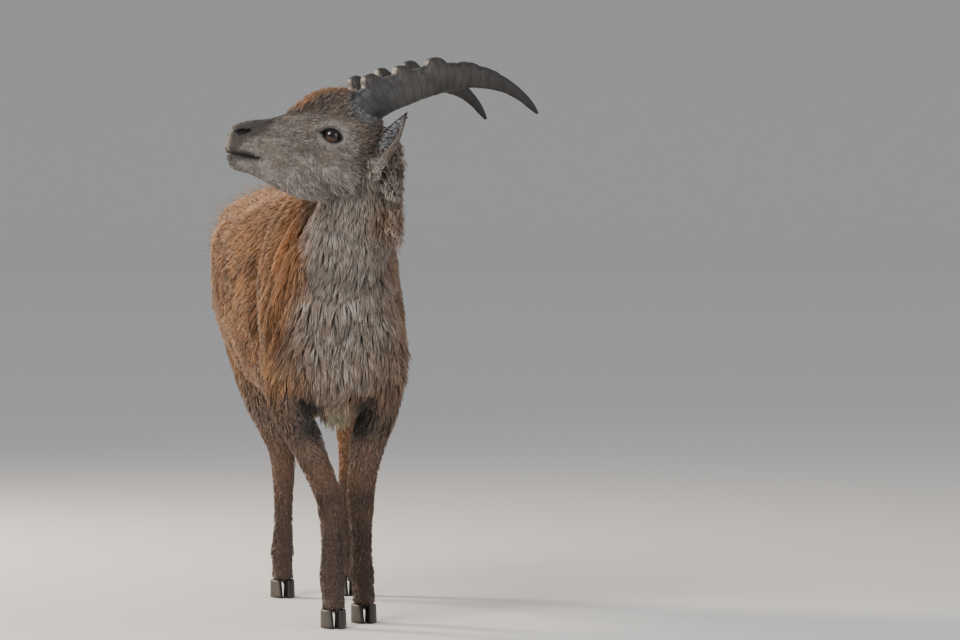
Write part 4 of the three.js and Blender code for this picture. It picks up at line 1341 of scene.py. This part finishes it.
def tuft_mesh(name, points, rings):
    """A mesh from the points of many tufts, with the corners of all its faces."""
    count, per_tuft = points.shape[:2]
    quads, tris = tuft_faces(rings)
    one = np.concatenate([quads.ravel(), tris.ravel()])
    loops = ((np.arange(count) * per_tuft)[:, None] + one).astype(np.int32).ravel()
    sizes = np.array([4] * len(quads) + [3] * len(tris))
    first = np.concatenate([[0], np.cumsum(sizes)[:-1]])
    starts = np.arange(count)[:, None] * len(one) + first
    mesh = bpy.data.meshes.new(name)
    mesh.vertices.add(count * per_tuft)
    mesh.loops.add(len(loops))
    mesh.polygons.add(count * len(sizes))
    mesh.vertices.foreach_set("co", to_frame(points.reshape(-1, 3)).astype(np.float32).ravel())
    mesh.loops.foreach_set("vertex_index", loops)
    mesh.polygons.foreach_set("loop_start", starts.astype(np.int32).ravel())
    mesh.polygons.foreach_set("loop_total", np.tile(sizes, count).astype(np.int32))
    mesh.polygons.foreach_set("use_smooth", np.ones(count * len(sizes), bool))
    mesh.update(calc_edges=True)
    coat_count[name] = count * (len(quads) * 2 + len(tris))
    return mesh, loops


def tuft_map(roots, across, along):
    """Flat place of each point. A tuft is a small patch at its root's place on the map."""
    low, high = roots["flat"].min(axis=0), roots["flat"].max(axis=0)
    place = 0.01 + 0.98 * (roots["flat"] - low) / np.maximum(high - low, 1e-6)
    patch = PATCH * np.stack([across, along - 0.5], -1)
    return (place[:, None, :] + patch[None]).reshape(-1, 2)


# %% Tufts
def grow_tufts(name, roots, lie, length, width, thick, lift, seed, rings=3, end_lift=0,
               curl=0.0, turns=1.2, hang=0.0, clump=9, gather=0.35, vary=0.3, shade=0.3, sink=1.0):
    """Makes one piece of coat from roots, with sizes in millimetres. lift and end_lift are slants
    from the skin in degrees, clump is the number of tufts that cling together, gather how much,
    hang how far a tuft droops, and sink how deep its foot lies in the skin."""
    random = np.random.default_rng(seed)
    at, normal = roots["at"], roots["normal"]
    count = len(at)

    def spread(value, amount):
        return np.broadcast_to(value, (count,)) * (1 + amount * random.uniform(-1, 1, count))

    length = spread(length, vary)[:, None]
    width = spread(width, 0.3)
    thick = spread(thick, 0.3)
    small, large = clumps_of(roots, lie, clump, seed + 1), clumps_of(roots, lie, clump * 8, seed + 2)
    wander = random.normal(0, 0.12, count) + random.normal(0, 0.14, count)[small]
    lie = turned(lie, unit(np.cross(lie, normal)), wander)
    side = unit(np.cross(lie, normal))
    slant = np.radians(spread(lift, 0.35))[:, None]
    end = np.radians(spread(end_lift, 0.5))[:, None]
    first = lie * np.cos(slant) + normal * np.sin(slant)
    last = unit(lie * np.cos(end) + normal * np.sin(end) - hang * Z)
    tips = at + length * (first + last) / 2
    pull = drawn_to(tips, small, 20) * gather + drawn_to(tips, large, 14) * gather * 0.4
    phase = random.uniform(0, 2 * math.pi, count)[:, None]

    def path(t):
        way = at + length * (first * t + (last - first) * t * t / 2) + pull * t**1.7
        swing = 2 * math.pi * turns * t + phase
        return way + curl * t**0.7 * (side * np.sin(swing) + normal * (0.6 + 0.6 * np.cos(swing)))

    steps = np.linspace(0, 1, rings + 1)[:-1] ** 0.9
    fullness = np.interp(steps, [0, 0.15, 0.5, 0.85, 1], [0.6, 0.9, 1.0, 0.55, 0.3])
    rows = []
    for t, full in zip(steps, fullness):
        middle = path(t) - normal * sink * (1 - t) ** 3
        onward = unit(path(t + 0.06) - path(t))
        across = unit(np.cross(onward, normal))
        half = across * (width * full / 2)[:, None]
        ridge = np.cross(across, onward) * (thick * full)[:, None]
        rows += [middle - half, middle + half, middle + ridge]
    rows.append(path(1.0))
    mesh, loops = tuft_mesh(name, np.stack(rows, axis=1), rings)
    thing = bpy.data.objects.new(name, mesh)
    bpy.context.scene.collection.objects.link(thing)
    along = np.append(np.repeat(steps, 3), 1.0)
    across = np.append(np.tile([-0.5, 0.5, 0.0], rings), 0.0)
    give_map(thing, tuft_map(roots, across, along)[loops])
    # tufts differ a little in lightness, and so do small and large clumps
    light = 0.5 * random.uniform(-1, 1, count) + 0.45 * random.uniform(-1, 1, count)[small]
    light = 1 + shade * (light + 0.4 * random.uniform(-1, 1, count)[large])
    give_colour(thing, "marking", np.repeat(roots["colour"] * light[:, None], len(rows), axis=0))
    give_number(thing, "tip", np.tile(along, count))
    give_number(thing, "strand", np.repeat(random.uniform(0, 100, count), len(rows)))
    give_number(thing, "across", np.tile(across, count))
    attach(thing, "root")


# %% [markdown]
# ## The coat, part by part
# The trunk has short woolly fur that is being shed, the neck and breast long hanging hair, the
# nape and forehead curls, the face and legs short flat hair.

# %% Coat of the trunk
def coat_lengths(roots):
    """Length in millimetres at each root of the body."""
    _, y, z = roots["at"].T
    length = 19 + 4 * waves(roots["at"], 60, 31)
    length += 8 * (1 - smooth(400, 450, z)) * smooth(-260, -200, y)
    length += 14 * (1 - smooth(-350, -290, y)) * smooth(440, 520, z)
    return length + 6 * smooth(420, 470, y)


tri_x, tri_y, tri_z = tri_middle.T
in_part = {name: tri_part == i for i, name in enumerate(PART_NAMES)}
front_hair = in_part["trunk"] & (tri_y < -296) & (tri_z > 400)
flank = in_part["trunk"] & ~front_hair
ranges = [("fore", -400, -120), ("middle", -120, 110), ("rear", 110, 270), ("rump", 270, 600)]
for seed, (name, low, high) in enumerate(ranges):
    roots = roots_where(flank & (tri_y >= low) & (tri_y < high), 4.0, 100 + seed)
    grow_tufts("coat_" + name, roots, lie_of(roots), coat_lengths(roots), 2.1, 0.9, 28, 200 + seed,
               rings=2, end_lift=11, clump=6, gather=0.36, curl=0.9, turns=0.5, shade=0.65)
print("coat of the trunk:", sum(coat_count.values()), "triangles")

# %% Hair of the breast and neck
def nape_side(roots):
    """How far along the neck roots lie, and how near its nape, from -1 under it to 1 on it."""
    along, centre, _, up = centre_line(neck, roots["at"])
    return along, dot(unit(roots["at"] - centre), up) + 0.1 * waves(roots["at"], 20, 32)


roots = roots_where(front_hair, 3.1, 120)
grow_tufts("hair_breast", roots, lie_of(roots), 38, 1.8, 0.8, 26, 220, end_lift=8,
           clump=11, gather=0.48, curl=1.2, turns=0.6, hang=0.4, shade=0.5)
roots = roots_where(in_part["neck"], 3.0, 121)
along, on_nape = nape_side(roots)
on_throat = (on_nape <= 0.5) | (roots["at"][:, 2] <= 720)
throat = keep(roots, on_throat)
low_neck = smooth(0.85, 0.25, along[on_throat])
grow_tufts("hair_neck", throat, lie_of(throat), 8 + 25 * low_neck, 1.7, 0.7, 19, 221,
           end_lift=6, clump=10, gather=0.5, curl=0.9, turns=0.6, hang=0.3, shade=0.5)
roots = roots_where(in_part["neck"], 3.3, 122)
nape = keep(roots, (nape_side(roots)[1] > 0.42) & (roots["at"][:, 2] > 715))
grow_tufts("wool_nape", nape, lie_of(nape), 34, 2.4, 1.2, 60, 222, rings=5, end_lift=22,
           clump=8, gather=0.65, curl=6.0, turns=1.5, hang=0.15, shade=0.75)
print("tufts on the nape:", len(nape["at"]))

# %% Fringes of the breast and belly
away = (tri_middle - np.array([0, -322, 408])) / np.array([40.0, 44.0, 30.0])
roots = roots_where(dot(away, away) < 1, 3.0, 123)
down = np.tile([0.0, 0.12, -1.0], (len(roots["at"]), 1))
down = unit(down - roots["normal"] * dot(down, roots["normal"])[:, None] * 0.5)
grow_tufts("hair_brisket", roots, down, 40, 2.2, 0.9, 8, 223, rings=4, end_lift=0, clump=12,
           gather=0.6, curl=1.4, turns=0.7, hang=1.2, shade=0.5)
belly_line = in_part["trunk"] & (tri_y > -150) & (tri_y < 260) & (tri_z < 440) & (np.abs(tri_x + 10) < 70)
roots = roots_where(belly_line, 5.0, 124)
down = unit(np.tile([0.0, 0.5, -1.0], (len(roots["at"]), 1)))
grow_tufts("hair_belly", roots, down, 19, 2.4, 0.9, 6, 224, end_lift=0, clump=12,
           gather=0.6, curl=1.0, turns=0.6, hang=0.5, shade=0.4)
print("tufts of the belly's fringe:", len(roots["at"]))

# %% Legs and tail
for seed, leg_name in enumerate(LEG_SIZES):
    spacing = 3.5 if leg_name.startswith("fore") else 3.8
    roots = roots_where(in_part[leg_name], spacing, 130 + seed)
    z = roots["at"][:, 2]
    upper = smooth(250, 440, z)
    # short above the hooves, but with a fringe that hangs over the claws
    length = 9 + 15 * upper - 3.5 * (1 - smooth(40, 110, z)) + 8 * (1 - smooth(37, 48, z))
    grow_tufts("coat_" + leg_name, roots, lie_of(roots), length, 1.8 + 0.5 * upper, 0.7, 26 + 8 * upper,
               230 + seed, rings=2, end_lift=8, clump=9, gather=0.5, shade=0.5)
roots = roots_where(in_part["tail"], 3.6, 140)
grow_tufts("hair_tail", roots, lie_of(roots), 30, 2.4, 0.9, 20, 240, rings=4, end_lift=6,
           clump=12, gather=0.5, curl=1.0, hang=0.3)
print("tufts of the tail:", len(roots["at"]))

# %% [markdown]
# ## Hair of the head
# The muzzle has the shortest hair of all, laid so flat that it only breaks the light. On the cheek
# and jaw it is longer and rough, over the forehead it frizzes up in front of the horns.

# %% Hair of the head
def face_lengths(roots):
    f, _, u = head_numbers(roots["at"]).T
    length = 11 - 7 * smooth(48, 128, f)
    length += 4 * (1 - smooth(-60, 10, f)) * smooth(10, -60, u)
    length += 6 * smooth(-70, -105, u) * (1 - smooth(70, 118, f))
    length += 4 * smooth(-52, -70, u) * smooth(110, 130, f)
    length *= 1 - 0.4 * smooth(0, 24, u) * smooth(40, 80, f)
    for sign in (-1, 1):
        near_eye = np.linalg.norm(roots["at"] - eye_place(sign), axis=1)
        length *= 1 - 0.6 * (1 - smooth(24, 46, near_eye))
    return length


def frizz_of(roots):
    f, _, u = head_numbers(roots["at"]).T
    rough = 8 * waves(roots["at"], 16, 33)
    low = 22 + 0.1 * f + rough
    frizz = smooth(low, low + 18, u) * (1 - smooth(40, 76, f + rough)) * smooth(-96, -80, f)
    return frizz * (1 - collar_of(roots["at"]))


roots = roots_where(in_part["head"], 2.6, 150)
roots = keep(roots, roots["bare"] < 0.35)
flat = smooth(110, 150, head_numbers(roots["at"])[:, 0])
grow_tufts("hair_face", roots, lie_of(roots), face_lengths(roots), 1.45 - 0.3 * flat, 0.5, 24 - 8 * flat,
           250, rings=2, end_lift=9, clump=6, gather=0.45, vary=0.35, shade=0.55, sink=0.4)
roots = roots_where(in_part["head"], 3.0, 151)
frizz = frizz_of(roots)
frizzy = keep(roots, frizz > 0.15)
grow_tufts("hair_forehead", frizzy, lie_of(frizzy), 7 + 7 * frizz[frizz > 0.15], 1.6, 0.7, 50,
           251, rings=4, end_lift=26, clump=7, gather=0.45, curl=2.2, turns=1.1, shade=0.6)
print("tufts of the forehead:", len(frizzy["at"]))

# %% [markdown]
# ## Stray hairs
# A coat that is being shed has single long hairs that stand out of it. They catch the light round
# the nape and the back.

# %% Stray hairs
stray = (in_part["neck"] & (tri_x > 30)) | (in_part["trunk"] & ((tri_z > 690) | (tri_y > 300)))
roots = roots_where(stray, 17.0, 160)
length = np.where(roots["at"][:, 2] > 720, 34, 24)
grow_tufts("hair_stray", roots, lie_of(roots, 9), length, 0.7, 0.5, 46, 280, rings=5, end_lift=34,
           vary=0.5, clump=2, gather=0.0, curl=6.0, turns=1.0, shade=0.4)
print("stray hairs:", len(roots["at"]))

# %% Hair of the ears
def ear_roots(sign, count, wall, low_t, high_t, share_limit, colour, seed):
    """Roots over one wall of an ear, the ways to its tip and to its middle, and the places across it."""
    random = np.random.default_rng(seed)
    t = random.uniform(low_t, high_t, count)
    share = random.uniform(-share_limit, share_limit, count)
    at = ear_point(sign, t, share, wall)
    step = 0.02
    way_t = ear_point(sign, np.minimum(t + step, 1), share, wall) - ear_point(sign, t - step, share, wall)
    way_s = ear_point(sign, t, share + step, wall) - ear_point(sign, t, share - step, wall)
    normal = unit(np.cross(way_t, way_s))
    centre = ear_point(sign, t, 0 * share, wall) + ear_frame(sign)[3] * 14
    normal = normal * np.sign(dot(normal, at - centre))[:, None]
    if wall > 0:
        normal = -normal
    roots = {"at": at, "normal": normal, "colour": colour(t, np.abs(share)),
             "flat": np.stack([share * 0.5 + 0.5, t], -1)}
    return roots, unit(way_t), unit(way_s) * -np.sign(share)[:, None], share


def outer_ear_colour(t, _):
    return lay(plain((116, 104, 94), len(t)),
               ((150, 144, 138), 1 - smooth(0.0, 0.35, t)),
               ((58, 48, 43), smooth(0.72, 0.98, t)))


def inner_ear_colour(t, share):
    streak = smooth(-0.3, 0.9, np.sin(t * 911 + share * 517))
    return lay(plain((70, 69, 72), len(t)),
               ((168, 170, 173), streak * smooth(0.05, 0.5, share)),
               ((50, 44, 42), np.maximum(smooth(0.8, 0.99, t), smooth(0.93, 1, share))))


for sign, side_name in SIDES:
    outer, way, _, _ = ear_roots(sign, 1900, 0.0, 0.0, 0.97, 0.98, outer_ear_colour, 160 + sign)
    grow_tufts("hair_ear_back_" + side_name, outer, way, 7, 1.7, 0.5, 16, 260 + sign, rings=2,
               end_lift=2, clump=8, gather=0.2, shade=0.15, sink=0.3)
    inner, way, toward, share = ear_roots(
        sign, 1500, EAR_WALL, 0.04, 0.93, 0.96, inner_ear_colour, 170 + sign)
    lie = unit(way + toward * (0.2 + 0.9 * np.abs(share))[:, None])
    grow_tufts("hair_ear_inside_" + side_name, inner, lie, 8 + 10 * np.abs(share) ** 2, 1.5, 0.5, 24,
               270 + sign, rings=3, end_lift=10, clump=8, gather=0.35, shade=0.15, sink=0.3,
               curl=0.6)
for name, count in coat_count.items():
    print(f"{name}: {count} triangles")
print("coat in all:", sum(coat_count.values()), "triangles")

# %% [markdown]
# ## Materials
# The marking colour of each point, with its painted light and shade, is carried by the mesh. The
# shaders add what paint can't: darker roots on every tuft, which paint the shade deep in the coat, and
# lighter tips, partly the coat's pale tips and partly painted light, fine strands, and the grain of skin
# and horn.

# %% Helpers for shaders
def group(name, wants, gives):
    made = bpy.data.node_groups.new(name, "ShaderNodeTree")
    for socket, kind, value in wants:
        item = made.interface.new_socket(socket, in_out="INPUT", socket_type=kind)
        if value is not None:
            item.default_value = value
    for socket, kind in gives:
        made.interface.new_socket(socket, in_out="OUTPUT", socket_type=kind)
    return made, made.nodes.new("NodeGroupInput").outputs, made.nodes.new("NodeGroupOutput").inputs


def add(tree, kind, links=None, **settings):
    """A node with its settings. links gives an input by name or number a socket or a value."""
    node = tree.nodes.new("ShaderNode" + kind)
    for name, value in settings.items():
        setattr(node, name, value)
    for key, value in (links or {}).items():
        if isinstance(value, bpy.types.NodeSocket):
            tree.links.new(value, node.inputs[key])
        else:
            node.inputs[key].default_value = value
    return node


def material(name, roughness, **constants):
    made = bpy.data.materials.new(name)
    made.use_nodes = True
    shader = made.node_tree.nodes["Principled BSDF"]
    shader.inputs["Roughness"].default_value = roughness
    for key, value in constants.items():
        shader.inputs[key.replace("_", " ")].default_value = value
    return made, made.node_tree, shader


# %% Helpers that give one socket each
def carried(tree, name, output="Fac"):
    """A number or colour that the mesh carries at each point."""
    return add(tree, "Attribute", attribute_name=name).outputs[output]


def maths(tree, operation, *values):
    return add(tree, "Math", dict(enumerate(values)), operation=operation).outputs[0]


def between(tree, value, low, high, to_low=0.0, to_high=1.0):
    return add(tree, "MapRange", {0: value, 1: low, 2: high, 3: to_low, 4: to_high}).outputs[0]


def scaled(tree, colour, factor):
    return add(tree, "VectorMath", {0: colour, 3: factor}, operation="SCALE").outputs[0]


def times(tree, colour, other):
    return add(tree, "VectorMath", {0: colour, 1: other}, operation="MULTIPLY").outputs[0]


def blend(tree, share, first, second):
    return add(tree, "Mix", {0: share, 6: first, 7: second}, data_type="RGBA").outputs[2]


def noise(tree, place, scale, detail):
    return add(tree, "TexNoise", {"Vector": place, "Scale": scale, "Detail": detail}).outputs[0]


def grain_of(tree, scale, detail):
    """Noise that is fixed to the piece."""
    return noise(tree, add(tree, "TexCoord").outputs["Object"], scale, detail)


def ramp(tree, value, stops):
    node = add(tree, "ValToRGB", {0: value})
    for element, (at, colour) in zip(node.color_ramp.elements, stops[:2]):
        element.position = at
        element.color = (*colour, 1)
    for at, colour in stops[2:]:
        element = node.color_ramp.elements.new(at)
        element.color = (*colour, 1)
    return node.outputs["Color"]


def grey(value):
    return (value, value, value)


def finish_look(tree, shader, colour, height=None, strength=0.0, distance=0.0):
    """Links the colour, and a bump where a height is given."""
    tree.links.new(colour, shader.inputs["Base Color"])
    if height is not None:
        bump = add(tree, "Bump", {"Height": height, "Strength": strength, "Distance": distance})
        tree.links.new(bump.outputs[0], shader.inputs["Normal"])


# %% Hair
COLOUR, VALUE = "NodeSocketColor", "NodeSocketFloat"
hair_colour, given, result = group(
    "strands of a tuft",
    [("Marking", COLOUR, None), ("Tip", VALUE, 0.5), ("Across", VALUE, 0.0), ("Strand", VALUE, 0.0),
     ("Root shade", VALUE, 0.55), ("Tip light", VALUE, 1.25)],
    [("Colour", COLOUR), ("Height", VALUE)])
t = hair_colour
level = add(t, "MapRange", {0: given["Tip"], 3: given["Root shade"], 4: given["Tip light"]}).outputs[0]
down = maths(t, "MULTIPLY", given["Tip"], 0.22)
spot = add(t, "CombineXYZ", {0: given["Across"], 1: given["Strand"], 2: down}).outputs[0]
strands = noise(t, spot, 9.0, 2.0)
light = maths(t, "MULTIPLY", level, between(t, strands, 0.3, 0.7, 0.82, 1.18))
t.links.new(scaled(t, given["Marking"], light), result["Colour"])
t.links.new(strands, result["Height"])


def hair_material(name, roughness, root, tip):
    made, t, shader = material(
        name, roughness, Specular_IOR_Level=0.25, Sheen_Weight=0.25, Sheen_Roughness=0.5)
    strands = add(t, "Group", {
        "Marking": carried(t, "marking", "Color"), "Tip": carried(t, "tip"), "Across": carried(t, "across"),
        "Strand": carried(t, "strand"), "Root shade": root, "Tip light": tip}, node_tree=hair_colour)
    finish_look(t, shader, strands.outputs["Colour"], strands.outputs["Height"], 0.5, 0.0006)
    return made


wool = hair_material("wool of the trunk", 0.85, 0.5, 1.35)
long_hair = hair_material("long neck hair", 0.72, 0.5, 1.4)
short_hair = hair_material("short flat hair", 0.7, 0.62, 1.25)
ear_hair = hair_material("hair of the ears", 0.7, 0.65, 1.25)

# %% Skin under the coat
skin_look, t, shader = material("skin and ground hair", 0.8, Specular_IOR_Level=0.3, Sheen_Weight=0.2)
grain = grain_of(t, 420.0, 3.0)
ground = scaled(t, carried(t, "marking", "Color"), between(t, grain, 0.3, 0.7, 0.55, 0.85))
finish_look(t, shader, ground, grain, 0.35, 0.0008)
skin.data.materials.append(skin_look)

# %% Horn and hoof
horn_look, t, shader = material("horn", 0.58, Specular_IOR_Level=0.4)
base = ramp(t, carried(t, "along"), [
    (0.0, tone(48, 51, 56)), (0.25, tone(60, 58, 56)), (0.6, tone(51, 48, 46)), (1.0, tone(27, 26, 26))])
lines = ramp(t, carried(t, "line"), [(0.0, grey(0.55)), (0.5, grey(0.95)), (1.0, grey(1.2))])
blotch = grain_of(t, 46.0, 4.0)
stain = ramp(t, blotch, [(0.3, grey(0.6)), (0.5, grey(1.0)), (0.72, grey(1.35))])
# painted shade: the front faces of the knobs are darkened
knob_shade = maths(t, "MULTIPLY", carried(t, "knob"), 0.75)
finish_look(t, shader, blend(t, knob_shade, times(t, times(t, base, lines), stain), (*tone(38, 33, 30), 1)),
            blotch, 0.4, 0.001)

hoof_look, t, shader = material("hoof horn", 0.5, Specular_IOR_Level=0.4)
finish_look(t, shader, ramp(t, carried(t, "line"), [(0.0, tone(40, 36, 33)), (1.0, tone(62, 56, 50))]))

# %% Ear
ear_look, t, shader = material("ear skin", 0.75, Specular_IOR_Level=0.3)
hollow = ramp(t, carried(t, "edge"), [
    (0.0, tone(60, 55, 56)), (0.7, tone(96, 92, 92)), (0.96, tone(62, 54, 50))])
both = blend(t, carried(t, "inside"), (*tone(96, 84, 74), 1), hollow)
to_tip = between(t, carried(t, "along"), 0.75, 1.0)
finish_look(t, shader, blend(t, to_tip, both, (*tone(44, 37, 33), 1)))

# %% Eye
# level runs along the pupil and across runs up, both in millimetres from the middle of the eye
PUPIL_LONG, PUPIL_HIGH = 9.6, 3.6
eye_look, t, shader = material(
    "wet eye", 0.2, Coat_Weight=0.55, Coat_Roughness=0.03, Specular_IOR_Level=0.25)
level = carried(t, "level")
across = carried(t, "across")
flat_place = add(t, "CombineXYZ", {0: level, 1: across, 2: 0.0}).outputs[0]
radius = add(t, "VectorMath", {0: flat_place}, operation="LENGTH").outputs["Value"]
direction = add(t, "VectorMath", {0: flat_place}, operation="NORMALIZE").outputs[0]
iris = ramp(t, between(t, radius, 0.0, EYE_RADIUS), [
    (0.0, tone(34, 18, 8)), (0.42, tone(66, 31, 10)), (0.6, tone(98, 48, 13)), (0.68, tone(38, 20, 10)),
    (0.75, tone(14, 10, 10)), (1.0, tone(14, 10, 10))])
fibres = ramp(t, noise(t, direction, 13.0, 3.0), [(0.35, grey(0.7)), (0.65, grey(1.25))])
# painted light and shade: the lower iris is lit and its upper part is much darker
iris_lit_below = scaled(t, times(t, iris, fibres), between(t, across, 4.0, -9.0, 0.08, 0.62))
wide = maths(t, "POWER", maths(t, "DIVIDE", level, PUPIL_LONG), 4.0)
tall = maths(t, "POWER", maths(t, "DIVIDE", maths(t, "ABSOLUTE", across), PUPIL_HIGH), 3.0)
pupil = between(t, maths(t, "ADD", wide, tall), 0.75, 1.25)
finish_look(t, shader, blend(t, pupil, (*tone(8, 8, 12), 1), iris_lit_below))

# %% Give every piece its look
LOOKS = [  # how a piece's name starts, and its look. The first that fits counts.
    ("horn_", horn_look), ("claw_", hoof_look), ("dewclaw_", hoof_look), ("ear_", ear_look),
    ("eye_", eye_look), ("hair_ear", ear_hair), ("hair_face", short_hair),
    ("hair_forehead", short_hair), ("hair_", long_hair), ("wool_", long_hair),
    ("coat_foreleg", short_hair), ("coat_hindleg", short_hair), ("coat_", wool)]
pieces = [thing for thing in bpy.context.scene.objects
          if thing.type == "MESH" and "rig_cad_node" not in thing]
for thing in pieces:
    look = next((look for start, look in LOOKS if thing.name.startswith(start)), None)
    if look is not None:
        thing.data.materials.append(look)
print("pieces:", len(pieces))

# %% [markdown]
# ## Floor, camera and light
# The photo was taken with a long lens from a little above the animal's middle, nearly in front of
# it. The light here is a plain soft studio light with a warmer lamp from the left and behind, and
# the pale floor is a wide round dish whose rim curves up far away, so that no side shows an edge.

# %% Floor
scene = bpy.context.scene
floor_mesh = bpy.data.meshes.new("floor")
AROUND = 96
FLAT, RIM = 24, 6  # radius of the flat middle and of the bend of the rim, in metres
bend = [math.radians(step * 5) for step in range(1, 18)]
dish = [(0.5, 0), (6, 0), (FLAT, 0)]  # radius and height of each ring
dish += [(FLAT + RIM * math.sin(a), RIM - RIM * math.cos(a)) for a in bend]
turns = [2 * math.pi * i / AROUND for i in range(AROUND)]
corners = [(r * math.cos(a), r * math.sin(a), z) for r, z in dish for a in turns]
dish_faces = tube_faces(len(dish), AROUND)[:-1]  # the last face would close the top
floor_mesh.from_pydata(corners, [], dish_faces)
floor_mesh.polygons.foreach_set("use_smooth", [True] * len(floor_mesh.polygons))
floor = bpy.data.objects.new("floor", floor_mesh)
scene.collection.objects.link(floor)
floor_look = bpy.data.materials.new("pale floor")
floor_look.use_nodes = True
shader = floor_look.node_tree.nodes["Principled BSDF"]
shader.inputs["Base Color"].default_value = (0.7, 0.69, 0.67, 1)
shader.inputs["Roughness"].default_value = 0.9
floor_mesh.materials.append(floor_look)
print("floor faces:", len(dish_faces))


# %% Light
def look_from(place, target, thing):
    way = Vector(target) - Vector(place)
    thing.location = place
    thing.rotation_euler = way.to_track_quat("-Z", "Y").to_euler()


def lamp(name, place, target, size, power, colour):
    light = bpy.data.lights.new(name, "AREA")
    light.shape = "DISK"
    light.size = size
    light.energy = power
    light.color = colour
    thing = bpy.data.objects.new(name, light)
    scene.collection.objects.link(thing)
    thing.visible_camera = False
    look_from(place, target, thing)


lamp("soft key", (-2.6, -3.2, 3.2), (0, -0.2, 0.6), 2.2, 200, (1.0, 0.97, 0.93))
lamp("soft fill", (3.4, -3.0, 1.6), (0, -0.2, 0.6), 3.0, 60, (0.93, 0.96, 1.0))
lamp("warm rim", (-2.6, 2.4, 1.9), (0, 0, 0.65), 1.1, 210, (1.0, 0.82, 0.62))
world = bpy.data.worlds.new("studio")
world.use_nodes = True
sky = world.node_tree.nodes["Background"]
sky.inputs["Color"].default_value = (0.78, 0.8, 0.84, 1)
sky.inputs["Strength"].default_value = 0.6
scene.world = world

# %% Camera
AZIMUTH, ELEVATION, DISTANCE = math.radians(-8), math.radians(2), 11840
from_target = np.array([math.sin(AZIMUTH) * math.cos(ELEVATION), -math.cos(AZIMUTH) * math.cos(ELEVATION),
                        math.sin(ELEVATION)])
target = np.array([273.0, -250.0, 559.0])
lens = bpy.data.cameras.new("camera")
lens.lens = 240
lens.sensor_width = 36
lens.clip_end = 200
camera = bpy.data.objects.new("camera", lens)
scene.collection.objects.link(camera)
look_from(to_frame(target + from_target * DISTANCE), to_frame(target), camera)
scene.camera = camera
